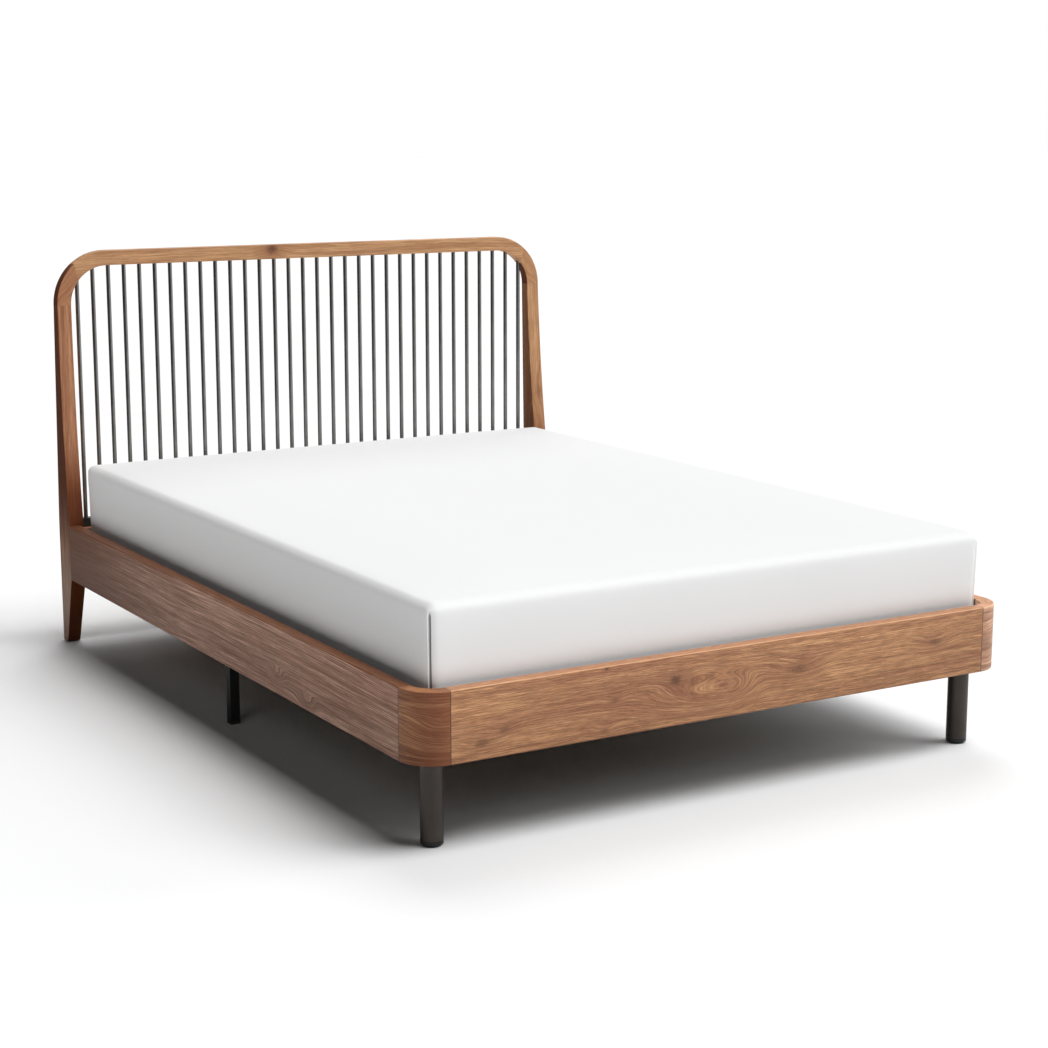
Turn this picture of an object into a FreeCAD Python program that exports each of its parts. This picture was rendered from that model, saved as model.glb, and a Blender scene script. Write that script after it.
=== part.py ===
import FreeCAD, Part
import math
import os
from FreeCAD import Vector

# Wooden bed with an arched spindle headboard, millimetres, +Z up.
# X runs across the bed, the foot end is at -Y and the headboard at +Y.
# The origin is on the floor, under the middle of the whole bed.

# Overall size
overall_width = 1620.0
overall_length = 2208.0
headboard_height = 1134.0

# Wooden rails and the round corners at the foot end
rail_bottom = 195.0
rail_height = 160.0
rail_thickness = 32.0
corner_radius = 80.0
edge_round = 3.0

# Headboard posts, bowed on the front and tapered to the floor
post_depth_floor = 38.0
post_flare = 52.0
post_depth_top = 34.0
post_bow = 9.0
post_bow_sections = 5
post_width_floor = 38.0
post_width_rail = 44.0
post_lean = 10.0
post_pad_height = 3.0
post_pad_inset = 5.0

# Arch of the headboard and the seams between its pieces
arch_width = 42.5
arch_outer_radius = 152.0
arch_seam_outer_inset = 54.0
arch_seam_inner_inset = 65.0
arch_dowel_radius = 5.0
arch_dowel_length = 56.0

# Steel spindles and the tube that they stand on
spindle_count = 32
spindle_radius = 6.0
spindle_socket_depth = 12.0
bar_height = 26.0
bar_depth = 24.0
bar_wall = 2.0
bar_back_gap = 5.0
bar_top_above_rail = 6.0
bar_socket_depth = 8.0

# Wooden rail under the tube, tenoned into both posts
head_rail_thickness = 32.0
head_rail_back_gap = 5.0
tenon_length = 18.0
tenon_thickness = 12.0
tenon_shoulder = 22.0

# Bed bolts that pull the side rails to the posts
bolt_radius = 4.0
bolt_engagement = 62.0
bolt_end_past_nut = 9.0
bolt_head_radius = 6.5
bolt_head_height = 8.0
bolt_key_radius = 3.2
bolt_key_depth = 4.0
bolt_recess_radius = 8.0
bolt_recess_depth = 11.0
bolt_height_shares = (0.27, 0.73)
barrel_radius = 6.0
barrel_length = 22.0

# Dowels and bent steel straps of the foot corners
corner_dowel_radius = 5.0
corner_dowel_length = 60.0
corner_dowel_height_shares = (0.2, 0.45)
strap_thickness = 3.0
strap_height = 36.0
strap_above_slats = 8.0
strap_reach = 96.0
strap_screw_inset = 18.0

# Wood screws, one pattern in several lengths
screw_radius = 2.5
screw_head_radius = 4.6
screw_head_height = 2.6
leg_screw_length = 28.0
short_screw_length = 20.0
ledger_screw_length = 44.0
slat_screw_length = 34.0

# Steel tube legs at the foot end, each with a round flange and a glide
leg_radius = 25.0
leg_wall = 2.5
leg_side_inset = 77.0
leg_foot_inset = 80.0
flange_radius = 42.0
flange_thickness = 4.0
flange_screw_circle = 33.5
flange_screw_count = 4
glide_height = 14.0
glide_bevel = 5.0
glide_plug_length = 16.0
leg_block_height = 45.0
leg_block_reach = 120.0

# Ledgers, slats and their two straps of webbing
ledger_width = 28.0
ledger_height = 28.0
ledger_screw_count = 5
ledger_end_gap = 4.0
slat_count = 14
slat_width = 70.0
slat_thickness = 18.0
slat_end_gap = 4.0
slat_first_inset = 92.0
slat_last_inset = 148.0
slat_edge_round = 3.0
mattress_recess = 65.0
webbing_width = 25.0
webbing_thickness = 1.2
webbing_from_rail = 258.0
webbing_overhang = 6.0
slat_screw_inset = 17.0

# Wooden centre rail in its two stirrup hangers
centre_rail_width = 40.0
centre_rail_height = 45.0
hanger_wall = 3.0
hanger_depth = 42.0
hanger_ear = 26.0

# Steel beam at mid length with its three square legs
beam_from_foot = 1142.0
beam_width = 25.0
beam_height = 30.0
beam_wall = 2.0
beam_plate_thickness = 3.0
beam_plate_width = 75.0
beam_plate_height = 40.0
beam_screw_inset = 14.0
support_leg_side = 25.0
support_leg_wall = 2.0
support_leg_from_rail = 49.0
support_plate_thickness = 4.0
support_plate_length = 75.0
support_bolt_radius = 3.0
support_bolt_head_radius = 5.0
support_bolt_head_height = 4.0
support_bolt_inset = 12.0
support_cap_height = 5.0
support_cap_plug = 14.0

# Mattress
mattress_side_gap = 21.0
mattress_foot_gap = 14.0
mattress_head_gap = 55.0
mattress_side_height = 238.0
mattress_crown = 9.0
mattress_corner_radius = 24.0
mattress_top_round = 16.0
mattress_bottom_round = 10.0
mattress_end_draw = 5.0
mattress_side_draw = 2.0
mattress_side_taper = 9.0
mattress_crown_reach = 300.0
mattress_rest_gap = 0.3

# Clearances
fit_gap = 0.2
slide_gap = 0.5
cut_overrun = 5.0

# Places worked out from the sizes above
half_width = overall_width / 2
head_face = overall_length / 2
foot_face = -overall_length / 2
rail_top = rail_bottom + rail_height
rail_inner_x = half_width - rail_thickness
foot_inner_y = foot_face + rail_thickness
corner_inner_radius = corner_radius - rail_thickness
post_depth_rail = post_depth_floor + post_flare
post_front_y = head_face - post_depth_rail
arch_half_width = half_width - post_lean
arch_spring = headboard_height - arch_outer_radius
arch_inner_radius = arch_outer_radius - arch_width
arch_inner_half = arch_half_width - arch_width
spindle_y = head_face - post_depth_top / 2
bar_top = rail_top + bar_top_above_rail
bar_bottom = bar_top - bar_height
slat_top = rail_top - mattress_recess
slat_bottom = slat_top - slat_thickness
ledger_bottom = slat_bottom - ledger_height
centre_rail_bottom = slat_bottom - centre_rail_height
beam_bottom = centre_rail_bottom - beam_height
beam_y = foot_face + beam_from_foot
leg_block_bottom = rail_bottom + flange_thickness
head_rail_front_y = head_face - head_rail_back_gap - head_rail_thickness
mattress_half_width = rail_inner_x - mattress_side_gap
mattress_foot_y = foot_inner_y + mattress_foot_gap
mattress_head_y = head_rail_front_y - mattress_head_gap
pilot_radius = screw_radius + fit_gap


def box(low, high):
    """Box between two opposite corners."""
    size = high.sub(low)
    return Part.makeBox(size.x, size.y, size.z, low)


def rod(start, end, radius):
    """Round bar from one point to another."""
    axis = end.sub(start)
    return Part.makeCylinder(radius, axis.Length, start, axis)


def along(point, direction, distance):
    """Point at a distance from another along a direction."""
    unit = Vector(direction)
    unit.normalize()
    return point.add(unit.multiply(distance))


def mirrored(shape):
    """The same piece on the other side of the bed."""
    return shape.mirror(Vector(0, 0, 0), Vector(1, 0, 0))


def group(solids):
    """Equal small pieces that share one file."""
    return Part.makeCompound(solids)


def cut_all(shape, tools):
    """Piece with every hole taken out of it."""
    result = shape.cut(tools)
    return result.Solids[0] if len(result.Solids) == 1 else result


def long_edges(shape, direction, shortest):
    """Straight edges of a piece that run along a direction."""
    chosen = []
    for edge in shape.Edges:
        if edge.Length < shortest or edge.Curve.TypeId != "Part::GeomLine":
            continue
        run = edge.tangentAt(edge.FirstParameter)
        if abs(run.dot(direction)) > math.cos(math.radians(3)):
            chosen.append(edge)
    return chosen


def wood_screw(seat, direction, length):
    """Pan head screw: the head stands on the seat, the shank goes along the direction."""
    head = rod(along(seat, direction, -screw_head_height), seat, screw_head_radius)
    shank = rod(seat, along(seat, direction, length), screw_radius)
    return head.fuse(shank).removeSplitter()


def screw_hole(seat, direction, length):
    """Hole for the shank of a wood screw, open at the seat."""
    start = along(seat, direction, -cut_overrun)
    return rod(start, along(seat, direction, length + fit_gap), pilot_radius)


# Headboard frame

def rounded_section(x0, x1, y0, y1, height):
    """Level rectangle with softened corners."""
    radius = edge_round
    eighth = radius * (1 - math.sqrt(0.5))
    corners = []
    for x, y, side_x, side_y in ((x1, y0, -1, 1), (x1, y1, -1, -1), (x0, y1, 1, -1), (x0, y0, 1, 1)):
        on_x = Vector(x + side_x * radius, y, height)
        on_y = Vector(x, y + side_y * radius, height)
        middle = Vector(x + side_x * eighth, y + side_y * eighth, height)
        corners.append((on_x, middle, on_y) if side_x * side_y < 0 else (on_y, middle, on_x))
    edges = []
    for number, corner in enumerate(corners):
        following = corners[(number + 1) % len(corners)]
        edges.append(Part.Arc(*corner).toShape())
        edges.append(Part.makeLine(corner[2], following[0]))
    return Part.Wire(edges)


def post_section(height):
    """Section of the right-hand post at a height."""
    if height < rail_bottom:
        share = (height - post_pad_height) / (rail_bottom - post_pad_height)
        depth = post_depth_floor + (post_depth_rail - post_depth_floor) * share
        width = post_width_floor + (post_width_rail - post_width_floor) * share
        return rounded_section(half_width - width, half_width, head_face - depth, head_face, height)
    share = max(0, (height - rail_top) / (arch_spring - rail_top))
    bow = post_bow * 4 * share * (1 - share)
    depth = post_depth_rail + (post_depth_top - post_depth_rail) * share - bow
    outer = half_width - post_lean * share
    inner = half_width - post_width_rail + (arch_inner_half - half_width + post_width_rail) * share
    return rounded_section(inner, outer, head_face - depth, head_face, height)


def headboard_post_right():
    """Post: tapered leg, straight middle, and a bowed upper part up to the arch."""
    leg = Part.makeLoft([post_section(post_pad_height), post_section(rail_bottom)], True, True)
    middle = Part.makeLoft([post_section(rail_bottom), post_section(rail_top)], True, True)
    heights = [rail_top + (arch_spring - rail_top) * number / (post_bow_sections - 1)
               for number in range(post_bow_sections)]
    upper = Part.makeLoft([post_section(height) for height in heights], True, False)
    return leg.fuse([middle, upper])


def arch():
    """Top rail with both round corners in one, before its seams are cut."""
    section = rounded_section(
        arch_inner_half, arch_half_width, head_face - post_depth_top, head_face, arch_spring)
    centre = Vector(arch_half_width - arch_outer_radius, 0, arch_spring)
    bend = Part.Face(section).revolve(centre, Vector(0, -1, 0), 90)
    end = Part.Face(section)
    end.rotate(centre, Vector(0, -1, 0), 90)
    straight = end.extrude(Vector(-centre.x * 2, 0, 0))
    return bend.fuse([straight, mirrored(bend)])


def arch_underside_at(x):
    """Height of the inside of the arch at a place across the bed."""
    past_flat = max(0, abs(x) - (arch_inner_half - arch_inner_radius))
    return arch_spring + math.sqrt(arch_inner_radius ** 2 - past_flat ** 2)


def arch_seam():
    """Outer and inner point of the right-hand seam in the arch."""
    outer_x = arch_half_width - arch_seam_outer_inset
    inner_x = arch_half_width - arch_seam_inner_inset
    outer_run = outer_x - (arch_half_width - arch_outer_radius)
    outer_z = arch_spring + math.sqrt(arch_outer_radius ** 2 - outer_run ** 2)
    return Vector(outer_x, spindle_y, outer_z), Vector(inner_x, spindle_y, arch_underside_at(inner_x))


def spindle_places():
    """Places of the spindles across the bed, half a pitch from each post."""
    pitch = arch_inner_half * 2 / spindle_count
    return [-arch_inner_half + pitch * (number + 0.5) for number in range(spindle_count)]


def spindles():
    """Spindles from the top of the tube into their sockets in the arch."""
    bars = []
    for x in spindle_places():
        low = Vector(x, spindle_y, bar_top)
        high = Vector(x, spindle_y, arch_underside_at(x) + spindle_socket_depth)
        bars.append(rod(low, high, spindle_radius))
    return bars


def spindle_sockets():
    """Blind holes for the spindles in the underside of the arch."""
    holes = []
    for x in spindle_places():
        low = Vector(x, spindle_y, arch_underside_at(x) - spindle_radius * 4)
        high = Vector(x, spindle_y, arch_underside_at(x) + spindle_socket_depth + fit_gap)
        holes.append(rod(low, high, spindle_radius + fit_gap))
    return holes


def arch_dowels(gap):
    """Dowels across the four seams of the headboard, with a gap all round."""
    pins = []
    outer, inner = arch_seam()
    middle = outer.add(inner).multiply(0.5)
    seam_run = outer.sub(inner)
    across = Vector(seam_run.z, 0, -seam_run.x)
    post_middle = Vector(arch_half_width - arch_width / 2, spindle_y, arch_spring)
    half_length = arch_dowel_length / 2 + gap
    for place, direction in ((middle, across), (post_middle, Vector(0, 0, 1))):
        start = along(place, direction, -half_length)
        pin = rod(start, along(place, direction, half_length), arch_dowel_radius + gap)
        pins.append(pin)
        pins.append(mirrored(pin))
    return pins


def arch_corner_region():
    """Space of the right-hand corner piece, from the post joint to the seam."""
    outer, inner = arch_seam()
    slope = (outer.x - inner.x) / (outer.z - inner.z)
    top = headboard_height + cut_overrun
    low = arch_spring - cut_overrun
    edge = half_width + cut_overrun
    points = [
        Vector(edge, 0, low),
        Vector(inner.x + (low - inner.z) * slope, 0, low),
        Vector(inner.x + (top - inner.z) * slope, 0, top),
        Vector(edge, 0, top),
        Vector(edge, 0, low),
    ]
    face = Part.Face(Part.makePolygon(points))
    face.translate(Vector(0, post_front_y - cut_overrun, 0))
    return face.extrude(Vector(0, post_depth_rail + cut_overrun * 2, 0))


# Rail between the posts, and the tube on top of it

def tenon_block(gap):
    """Right-hand tenon of the head rail."""
    middle_y = head_rail_front_y + head_rail_thickness / 2
    half_thick = tenon_thickness / 2 + gap
    inner_x = half_width - post_width_rail
    low = Vector(inner_x - gap, middle_y - half_thick, rail_bottom + tenon_shoulder - gap)
    high_z = bar_bottom - tenon_shoulder + gap
    return box(low, Vector(inner_x + tenon_length + gap, middle_y + half_thick, high_z))


def head_rail():
    """Wooden rail between the posts with a tenon at each end."""
    half_run = half_width - post_width_rail
    low = Vector(-half_run, head_rail_front_y, rail_bottom)
    board = box(low, Vector(half_run, head_face - head_rail_back_gap, bar_bottom))
    board = board.makeFillet(edge_round, long_edges(board, Vector(1, 0, 0), half_run))
    tenon = tenon_block(0)
    return board.fuse([tenon, mirrored(tenon)]).removeSplitter()


def bar_block(gap):
    """Outer form of the tube, with a gap all round."""
    half_run = half_width - post_width_rail + bar_socket_depth + gap
    low = Vector(-half_run, head_face - bar_back_gap - bar_depth - gap, bar_bottom - gap)
    return box(low, Vector(half_run, head_face - bar_back_gap + gap, bar_top + gap))


def lower_bar():
    """Square steel tube, open at both ends inside the posts."""
    outer = bar_block(0)
    half_run = half_width
    low = Vector(-half_run, head_face - bar_back_gap - bar_depth + bar_wall, bar_bottom + bar_wall)
    high = Vector(half_run, head_face - bar_back_gap - bar_wall, bar_top - bar_wall)
    return outer.cut(box(low, high))


# Side rails, foot rail and the bent foot corners

def side_rail_right():
    """Right side rail with softened long edges."""
    low = Vector(rail_inner_x, foot_face + corner_radius, rail_bottom)
    rail = box(low, Vector(half_width, post_front_y, rail_top))
    return rail.makeFillet(edge_round, long_edges(rail, Vector(0, 1, 0), corner_radius))


def foot_rail():
    """Front rail between the two corner pieces."""
    half_run = half_width - corner_radius
    low = Vector(-half_run, foot_face, rail_bottom)
    rail = box(low, Vector(half_run, foot_inner_y, rail_top))
    return rail.makeFillet(edge_round, long_edges(rail, Vector(1, 0, 0), corner_radius))


def corner_centre_right():
    """Centre of the round corner at the right foot."""
    return Vector(half_width - corner_radius, foot_face + corner_radius, rail_bottom)


def foot_corner_right():
    """Quarter round corner piece of the frame."""
    centre = corner_centre_right()
    start = -90
    outer = Part.makeCylinder(corner_radius, rail_height, centre, Vector(0, 0, 1), 90)
    inner = Part.makeCylinder(corner_inner_radius, rail_height, centre, Vector(0, 0, 1), 90)
    piece = outer.cut(inner)
    piece.rotate(centre, Vector(0, 0, 1), start)
    arcs = [edge for edge in piece.Edges if edge.Curve.TypeId == "Part::GeomCircle"]
    return piece.makeFillet(edge_round, arcs)


def corner_dowels(gap):
    """Dowels between the foot corners and the rails."""
    pins = []
    side_x = half_width - rail_thickness / 2
    foot_y = foot_face + rail_thickness / 2
    seam_y = foot_face + corner_radius
    seam_x = half_width - corner_radius
    rail_part = corner_dowel_length / 2 + gap
    corner_part = corner_dowel_radius * 4 + gap
    for share in corner_dowel_height_shares:
        height = rail_bottom + rail_height * share
        pins.append(rod(
            Vector(side_x, seam_y - corner_part, height),
            Vector(side_x, seam_y + rail_part, height),
            corner_dowel_radius + gap,
        ))
        pins.append(rod(
            Vector(seam_x - rail_part, foot_y, height),
            Vector(seam_x + corner_part, foot_y, height),
            corner_dowel_radius + gap,
        ))
    return pins + [mirrored(pin) for pin in pins]


def corner_strap_right():
    """Bent steel strap along the inside of the right foot corner."""
    centre = corner_centre_right()
    low = slat_top + strap_above_slats
    base = Vector(centre.x, centre.y, low)
    arc_outer = Part.makeCylinder(corner_inner_radius, strap_height, base, Vector(0, 0, 1), 90)
    arc_inner_radius = corner_inner_radius - strap_thickness
    arc_inner = Part.makeCylinder(arc_inner_radius, strap_height, base, Vector(0, 0, 1), 90)
    bend = arc_outer.cut(arc_inner)
    bend.rotate(centre, Vector(0, 0, 1), -90)
    high = low + strap_height
    side = box(
        Vector(rail_inner_x - strap_thickness, centre.y, low),
        Vector(rail_inner_x, centre.y + strap_reach, high),
    )
    foot = box(
        Vector(centre.x - strap_reach, foot_inner_y, low),
        Vector(centre.x, foot_inner_y + strap_thickness, high),
    )
    return bend.fuse([side, foot]).removeSplitter()


def strap_screw_seats():
    """Seat and direction of the screws in the right strap."""
    centre = corner_centre_right()
    height = slat_top + strap_above_slats + strap_height / 2
    seats = []
    for inset in (strap_screw_inset, strap_reach - strap_screw_inset):
        seats.append((
            Vector(rail_inner_x - strap_thickness, centre.y + inset, height),
            Vector(1, 0, 0),
        ))
        seats.append((
            Vector(centre.x - inset, foot_inner_y + strap_thickness, height),
            Vector(0, -1, 0),
        ))
    return seats


# Bed bolts between the side rails and the posts

def bolt_places():
    """Place of each right-hand bed bolt, on the back face of the post."""
    x = half_width - rail_thickness / 2
    return [Vector(x, head_face, rail_bottom + rail_height * share) for share in bolt_height_shares]


def bed_bolt(place):
    """Socket head bolt from the back of the post into the side rail."""
    seat = Vector(place.x, place.y - bolt_recess_depth, place.z)
    head_top = Vector(place.x, seat.y + bolt_head_height, place.z)
    tip = Vector(place.x, post_front_y - bolt_engagement, place.z)
    head = rod(seat, head_top, bolt_head_radius)
    key = rod(Vector(place.x, head_top.y - bolt_key_depth, place.z), head_top, bolt_key_radius)
    return head.cut(key).fuse(rod(tip, seat, bolt_radius)).removeSplitter()


def bolt_hole(place):
    """Stepped hole for a bed bolt through the post and into the rail."""
    seat = Vector(place.x, place.y - bolt_recess_depth, place.z)
    open_end = Vector(place.x, place.y + cut_overrun, place.z)
    tip = Vector(place.x, post_front_y - bolt_engagement - fit_gap, place.z)
    recess = rod(seat, open_end, bolt_recess_radius)
    return recess.fuse(rod(tip, open_end, bolt_radius + fit_gap))


def barrel_ends(place):
    """Both ends of the barrel nut that takes a bed bolt."""
    y = post_front_y - bolt_engagement + bolt_end_past_nut
    return Vector(rail_inner_x, y, place.z), Vector(rail_inner_x + barrel_length, y, place.z)


def barrel_nut(place):
    """Cross dowel nut with its bore."""
    start, end = barrel_ends(place)
    bore = rod(
        Vector(place.x, post_front_y - bolt_engagement - cut_overrun, place.z),
        Vector(place.x, post_front_y, place.z),
        bolt_radius + fit_gap,
    )
    return rod(start, end, barrel_radius).cut(bore)


def barrel_hole(place):
    """Hole for a barrel nut, open at the inside of the rail."""
    start, end = barrel_ends(place)
    start = Vector(start.x - cut_overrun, start.y, start.z)
    return rod(start, Vector(end.x + fit_gap, end.y, end.z), barrel_radius + fit_gap)


# Round legs at the foot end

def leg_centre_right():
    """Centre line of the right foot leg, at the floor."""
    return Vector(half_width - leg_side_inset, foot_face + leg_foot_inset, 0)


def foot_leg_right():
    """Tube leg with its flange welded on top."""
    centre = leg_centre_right()
    tube_low = Vector(centre.x, centre.y, glide_height)
    flange_low = Vector(centre.x, centre.y, rail_bottom)
    flange_high = Vector(centre.x, centre.y, rail_bottom + flange_thickness)
    tube = rod(tube_low, flange_low, leg_radius)
    flange = rod(flange_low, flange_high, flange_radius)
    bore = rod(Vector(centre.x, centre.y, 0), flange_low, leg_radius - leg_wall)
    leg = tube.cut(bore).fuse(flange).removeSplitter()
    holes = [screw_hole(seat, up, leg_screw_length) for seat, up in leg_screw_seats()]
    return leg.cut(holes)


def leg_screw_seats():
    """Seat and direction of the screws under the right flange."""
    centre = leg_centre_right()
    seats = []
    for number in range(flange_screw_count):
        angle = math.radians(360 / flange_screw_count * (number + 0.5))
        x = centre.x + flange_screw_circle * math.cos(angle)
        y = centre.y + flange_screw_circle * math.sin(angle)
        seats.append((Vector(x, y, rail_bottom), Vector(0, 0, 1)))
    return seats


def glide_right():
    """Bevelled glide with the plug that holds it in the tube."""
    centre = leg_centre_right()
    plug_radius = leg_radius - leg_wall - fit_gap
    plug_top = glide_height + glide_plug_length
    profile = [
        Vector(centre.x, centre.y, 0),
        Vector(centre.x + leg_radius - glide_bevel, centre.y, 0),
        Vector(centre.x + leg_radius, centre.y, glide_bevel),
        Vector(centre.x + leg_radius, centre.y, glide_height),
        Vector(centre.x + plug_radius, centre.y, glide_height),
        Vector(centre.x + plug_radius, centre.y, plug_top),
        Vector(centre.x, centre.y, plug_top),
        Vector(centre.x, centre.y, 0),
    ]
    return Part.Face(Part.makePolygon(profile)).revolve(centre, Vector(0, 0, 1), 360)


def leg_block_right():
    """Wooden block in the right foot corner that carries the leg."""
    centre = corner_centre_right()
    low = Vector(rail_inner_x - leg_block_reach, foot_inner_y, leg_block_bottom)
    high_z = leg_block_bottom + leg_block_height
    block = box(low, Vector(rail_inner_x, foot_inner_y + leg_block_reach, high_z))
    corner = box(
        Vector(centre.x, foot_inner_y - cut_overrun, leg_block_bottom - cut_overrun),
        Vector(rail_inner_x + cut_overrun, centre.y, high_z + cut_overrun),
    )
    base = Vector(centre.x, centre.y, leg_block_bottom - cut_overrun)
    quarter = Part.makeCylinder(
        corner_inner_radius, leg_block_height + cut_overrun * 2, base, Vector(0, 0, 1))
    return block.cut(corner.cut(quarter))


# Ledgers, slats and webbing

def ledger_right():
    """Wooden strip inside the right side rail."""
    low = Vector(rail_inner_x - ledger_width, foot_face + corner_radius + ledger_end_gap, ledger_bottom)
    return box(low, Vector(rail_inner_x, post_front_y - ledger_end_gap, slat_bottom))


def ledger_screw_seats():
    """Seat and direction of the screws through the right ledger."""
    first = foot_face + corner_radius + leg_block_reach
    last = post_front_y - leg_block_reach
    pitch = (last - first) / (ledger_screw_count - 1)
    x = rail_inner_x - ledger_width
    z = slat_bottom - ledger_height / 2
    return [(Vector(x, first + pitch * number, z), Vector(1, 0, 0))
            for number in range(ledger_screw_count)]


def slat_places():
    """Places of the slat centres along the bed."""
    first = foot_face + slat_first_inset + slat_width / 2
    last = head_face - slat_last_inset - slat_width / 2
    pitch = (last - first) / (slat_count - 1)
    return [first + pitch * number for number in range(slat_count)]


def slat(y):
    """Flat slat across both ledgers and the centre rail."""
    half_run = rail_inner_x - slat_end_gap
    low = Vector(-half_run, y - slat_width / 2, slat_bottom)
    board = box(low, Vector(half_run, y + slat_width / 2, slat_top))
    upper = [edge for edge in long_edges(board, Vector(1, 0, 0), half_run)
             if edge.BoundBox.ZMin > slat_bottom + slat_thickness / 2]
    return board.makeFillet(slat_edge_round, upper)


def slat_screw_seats():
    """Seat and direction of the screws in the first and last slat."""
    places = slat_places()
    x = rail_inner_x - slat_screw_inset
    seat_z = slat_top - screw_head_height
    return [(Vector(side * x, y, seat_z), Vector(0, 0, -1))
            for y in (places[0], places[-1]) for side in (1, -1)]


def slat_screw_recess(seat):
    """Recess that lets a screw head lie flush in a slat."""
    top = Vector(seat.x, seat.y, slat_top + cut_overrun)
    return rod(seat, top, screw_head_radius + fit_gap)


def webbing_right():
    """Strip of webbing stapled over all the slats."""
    places = slat_places()
    reach = slat_width / 2 - webbing_overhang
    centre_x = rail_inner_x - webbing_from_rail
    low = Vector(centre_x - webbing_width / 2, places[0] - reach, slat_top)
    high_z = slat_top + webbing_thickness
    return box(low, Vector(centre_x + webbing_width / 2, places[-1] + reach, high_z))


# Centre rail and its hangers

def centre_rail():
    """Long wooden rail under the middle of the slats."""
    half = centre_rail_width / 2
    low = Vector(-half, foot_inner_y + hanger_wall, centre_rail_bottom)
    return box(low, Vector(half, head_rail_front_y - hanger_wall, slat_bottom))


def hanger(face_y, inward):
    """Steel stirrup against a rail, open on top, that holds one end of the centre rail."""
    half = centre_rail_width / 2 + slide_gap
    low_z = centre_rail_bottom - slide_gap - hanger_wall
    high_z = slat_bottom - slide_gap
    far_y = face_y + inward * hanger_depth
    plate_y = face_y + inward * hanger_wall
    ear = half + hanger_wall + hanger_ear

    def between(x0, y0, z0, x1, y1, z1):
        return box(Vector(x0, min(y0, y1), z0), Vector(x1, max(y0, y1), z1))

    back = between(-ear, face_y, low_z, ear, plate_y, high_z)
    cup = between(-half - hanger_wall, plate_y, low_z, half + hanger_wall, far_y, high_z)
    room = between(-half, plate_y, low_z + hanger_wall, half, far_y + inward * cut_overrun,
                   high_z + cut_overrun)
    return back.fuse(cup.cut(room)).removeSplitter()


def hanger_screw_seats():
    """Seat and direction of the screws in both hangers."""
    x = centre_rail_width / 2 + slide_gap + hanger_wall + hanger_ear / 2
    z = centre_rail_bottom + centre_rail_height / 2
    seats = []
    for side in (1, -1):
        seats.append((Vector(side * x, foot_inner_y + hanger_wall, z), Vector(0, -1, 0)))
        seats.append((Vector(side * x, head_rail_front_y - hanger_wall, z), Vector(0, 1, 0)))
    return seats


# Cross beam and its legs

def cross_beam():
    """Steel tube across the bed with a plate welded on each end."""
    half_run = rail_inner_x - beam_plate_thickness
    half = beam_width / 2
    outer = box(
        Vector(-half_run, beam_y - half, beam_bottom),
        Vector(half_run, beam_y + half, beam_bottom + beam_height),
    )
    inner = box(
        Vector(-half_run, beam_y - half + beam_wall, beam_bottom + beam_wall),
        Vector(half_run, beam_y + half - beam_wall, beam_bottom + beam_height - beam_wall),
    )
    plate = box(
        Vector(half_run, beam_y - beam_plate_width / 2, beam_bottom),
        Vector(rail_inner_x, beam_y + beam_plate_width / 2, beam_bottom + beam_plate_height),
    )
    return outer.cut(inner).fuse([plate, mirrored(plate)]).removeSplitter()


def beam_screw_seats():
    """Seat and direction of the screws in the right end plate."""
    x = rail_inner_x - beam_plate_thickness
    z = beam_bottom + beam_plate_height / 2
    reach = beam_plate_width / 2 - beam_screw_inset
    return [(Vector(x, beam_y + side * reach, z), Vector(1, 0, 0)) for side in (1, -1)]


def support_places():
    """Places of the three square legs across the bed."""
    outer = rail_inner_x - support_leg_from_rail
    return {"left": -outer, "centre": 0, "right": outer}


def support_leg(x):
    """Square tube leg with a plate welded on top."""
    half = support_leg_side / 2
    plate_low = beam_bottom - support_plate_thickness
    tube = box(
        Vector(x - half, beam_y - half, support_cap_height),
        Vector(x + half, beam_y + half, plate_low),
    )
    bore_half = half - support_leg_wall
    bore = box(
        Vector(x - bore_half, beam_y - bore_half, 0),
        Vector(x + bore_half, beam_y + bore_half, plate_low),
    )
    plate = box(
        Vector(x - support_plate_length / 2, beam_y - half, plate_low),
        Vector(x + support_plate_length / 2, beam_y + half, beam_bottom),
    )
    return tube.cut(bore).fuse(plate).removeSplitter()


def support_cap(x):
    """Plastic end cap with the plug that holds it in the square tube."""
    half = support_leg_side / 2
    plug_half = half - support_leg_wall - fit_gap
    cap = box(
        Vector(x - half, beam_y - half, 0),
        Vector(x + half, beam_y + half, support_cap_height),
    )
    plug = box(
        Vector(x - plug_half, beam_y - plug_half, support_cap_height),
        Vector(x + plug_half, beam_y + plug_half, support_cap_height + support_cap_plug),
    )
    return cap.fuse(plug).removeSplitter()


def support_bolt_seats(x):
    """Seats of the two bolts under the plate of a square leg."""
    reach = support_plate_length / 2 - support_bolt_inset
    z = beam_bottom - support_plate_thickness
    return [Vector(x + side * reach, beam_y, z) for side in (1, -1)]


def support_bolt(seat):
    """Bolt up through the plate into the wall of the beam."""
    head = rod(along(seat, Vector(0, 0, 1), -support_bolt_head_height), seat, support_bolt_head_radius)
    top = Vector(seat.x, seat.y, beam_bottom + beam_height / 2)
    return head.fuse(rod(seat, top, support_bolt_radius)).removeSplitter()


def support_bolt_hole(seat):
    """Hole for such a bolt, open at both ends."""
    low = Vector(seat.x, seat.y, seat.z - cut_overrun)
    top = Vector(seat.x, seat.y, beam_bottom + beam_height / 2)
    return rod(low, top, support_bolt_radius + fit_gap)


# Mattress

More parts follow.
